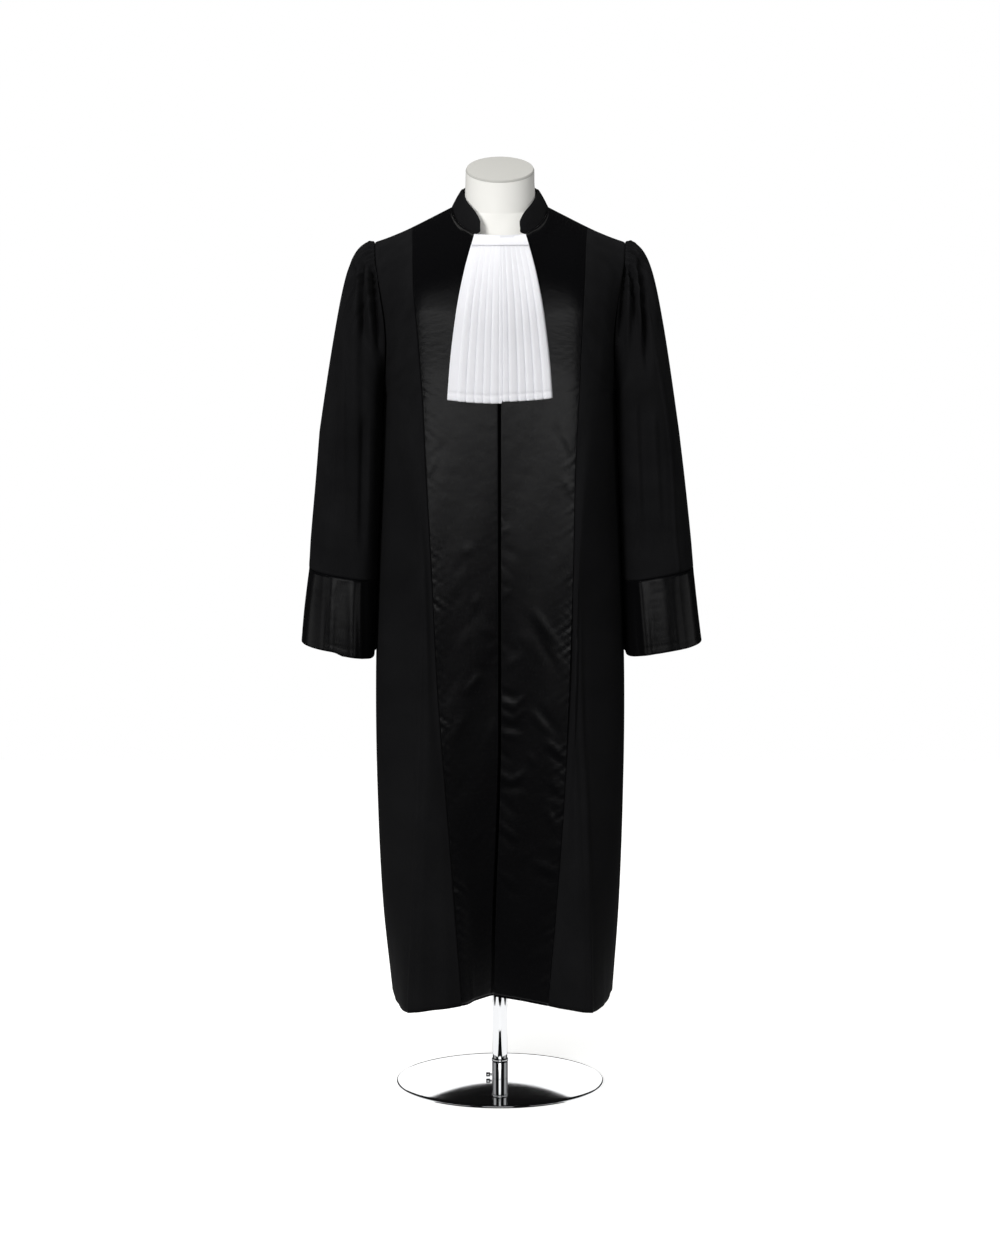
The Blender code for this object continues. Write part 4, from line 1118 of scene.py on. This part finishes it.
def finished(name, bm, material, sharp_degrees=35):
    """Turns the bmesh into a piece with its material, smooth but for its sharp edges."""
    piece = as_object(name, bm, material)
    piece.data.shade_smooth()
    piece.data.set_sharp_from_angle(angle=radians(sharp_degrees))
    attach(piece, "root")
    return piece


form_body = finished("form_body", bm, shell_paint)
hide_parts("form_torso")

# The neck cap: a flat disc of board, sprayed light grey, let into the rim of the neck.
cap_paint, tree, shader = new_material("light_grey_sprayed_cap")
place = add_node(tree, "ShaderNodeTexCoord").outputs["Object"]
speckle = noise(tree, place, 900.0, 2.0)
cap_values = {
    "Base Color": two_tones(tree, speckle, "#b1b0ab", "#b9b8b3"),
    "Roughness": 0.7,
    "Normal": bump(tree, speckle, 0.1, 0.0002),
}
wire(tree, shader, cap_values)

CAP_THICK = 0.004
ring = FORM[-1]
bm = bmesh.new()
bmesh.ops.create_cone(
    bm, cap_ends=True, segments=96, radius1=1.0, radius2=0.97, depth=CAP_THICK,
    matrix=Matrix.Translation((0, 0, CAP_THICK / 2)),
)
rim = [edge for edge in bm.edges if min(vert.co.z for vert in edge.verts) > CAP_THICK / 2]
half_y = (ring.front + ring.back) / 2 / cos(NECK_TILT)
middle_y = ring.lean + (ring.back - ring.front) / 2
bmesh.ops.scale(bm, verts=bm.verts, vec=(ring.half_x, half_y, 1.0))
bmesh.ops.bevel(bm, geom=rim, offset=0.0012, segments=3, profile=0.5, affect="EDGES", material=-1)
bmesh.ops.rotate(bm, verts=bm.verts, matrix=Matrix.Rotation(NECK_TILT, 3, "X"))
bmesh.ops.translate(bm, verts=bm.verts, vec=(0.0, middle_y, ring.z + ring.tilt * middle_y + 0.0003))
cap = finished("neck_cap_disc", bm, cap_paint)
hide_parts("neck_cap")

# The stand: a chromed steel tube held by a thumb screw in a short socket, with a ring where they meet, on a
# round mirror-polished plate.
BASE_RADIUS, BASE_RIM, BASE_THICK, BASE_EDGE = 0.190, 0.0045, 0.0065, 0.0020
POLE_RADIUS, SOCKET_RADIUS, RING_RADIUS = 0.01345, 0.01430, 0.01530
SOCKET_TOP, RING_TOP, SCREW_Z = 0.0370, 0.0445, 0.0125

# Chrome plate on polished steel: a mirror with the least haze of handling.
chrome, tree, shader = new_material("polished_chrome_plate")
place = add_node(tree, "ShaderNodeTexCoord").outputs["Object"]
haze = noise(tree, place, 22.0, 3.0)
chrome_values = {
    "Base Color": two_tones(tree, haze, "#e2e3e5", "#eaebec"),
    "Roughness": spread(tree, haze, 0.02, 0.05),
    "Metallic": 1.0,
}
wire(tree, shader, chrome_values)


def revolved(outline, segments):
    """A solid turned about the Z axis from its outline, given as pairs of radius and height."""
    bm = bmesh.new()
    points = [bm.verts.new((radius, 0.0, height)) for radius, height in outline]
    for first, second in zip(points, points[1:]):
        bm.edges.new((first, second))
    geometry = bm.verts[:] + bm.edges[:]
    bmesh.ops.spin(
        bm, geom=geometry, axis=(0, 0, 1), cent=(0, 0, 0), angle=2 * pi, steps=segments, use_merge=True
    )
    bmesh.ops.remove_doubles(bm, verts=bm.verts, dist=1e-6)
    bmesh.ops.recalc_face_normals(bm, faces=bm.faces)
    return bm


def turned(name, outline, node, segments):
    """A chromed piece turned about the pole, in place of its node."""
    piece = finished(name, revolved(outline, segments), chrome, sharp_degrees=50)
    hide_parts(node)


def rounded_corner(radius, height, size, start, steps=5):
    """Points round a quarter circle at an outer corner, from the given angle on, a quarter turn up."""
    angles = [start + k * (pi / 2) / steps for k in range(steps + 1)]
    return [(radius - size + size * cos(a), height + size * sin(a)) for a in angles]


base_outline = [(0.0, 0.0)]
base_outline += rounded_corner(BASE_RADIUS, BASE_EDGE, BASE_EDGE, -pi / 2)
base_outline += rounded_corner(BASE_RADIUS, BASE_RIM - BASE_EDGE, BASE_EDGE, 0.0)
crown = [BASE_RADIUS * (1 - step / 24) for step in range(1, 25)]
base_outline += [(r, mix(BASE_THICK, BASE_RIM, (r / BASE_RADIUS) ** 2)) for r in crown]
turned("round_base", base_outline, "base_plate", 160)

SEAT = 0.0003
socket_outline = [(0.0, BASE_THICK + SEAT), (SOCKET_RADIUS, BASE_THICK + SEAT)]
socket_outline += [(SOCKET_RADIUS, SOCKET_TOP), (0.0, SOCKET_TOP)]
turned("tube_socket", socket_outline, "pole_socket", 48)
ring_outline = [(0.0, SOCKET_TOP + SEAT)]
ring_outline += rounded_corner(RING_RADIUS, SOCKET_TOP + SEAT + 0.003, 0.003, -pi / 2)
ring_outline += rounded_corner(RING_RADIUS, RING_TOP - 0.003, 0.003, 0.0)
ring_outline += [(0.0, RING_TOP)]
turned("socket_ring", ring_outline, "pole_ring", 48)
pole_outline = [(0.0, RING_TOP + SEAT), (POLE_RADIUS, RING_TOP + SEAT)]
pole_outline += [(POLE_RADIUS, FORM_LOW - SEAT), (0.0, FORM_LOW - SEAT)]
turned("chrome_tube", pole_outline, "pole", 48)

# The thumb screw: a small turned head on a short shank, through the socket's side.
outline = [(0.0, 0.0), (0.0020, 0.0), (0.0020, 0.0035), (0.0037, 0.0038), (0.0040, 0.0045)]
outline += [(0.0040, 0.0100), (0.0036, 0.0107), (0.0030, 0.0110), (0.0, 0.0110)]
bm = revolved(outline, 32)
bmesh.ops.rotate(bm, verts=bm.verts, matrix=Matrix.Rotation(-pi / 2, 3, "Y"))
bmesh.ops.translate(bm, verts=bm.verts, vec=(-SOCKET_RADIUS - SEAT, 0.0, SCREW_Z))
screw = finished("socket_thumb_screw", bm, chrome)
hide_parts("thumb_screw")
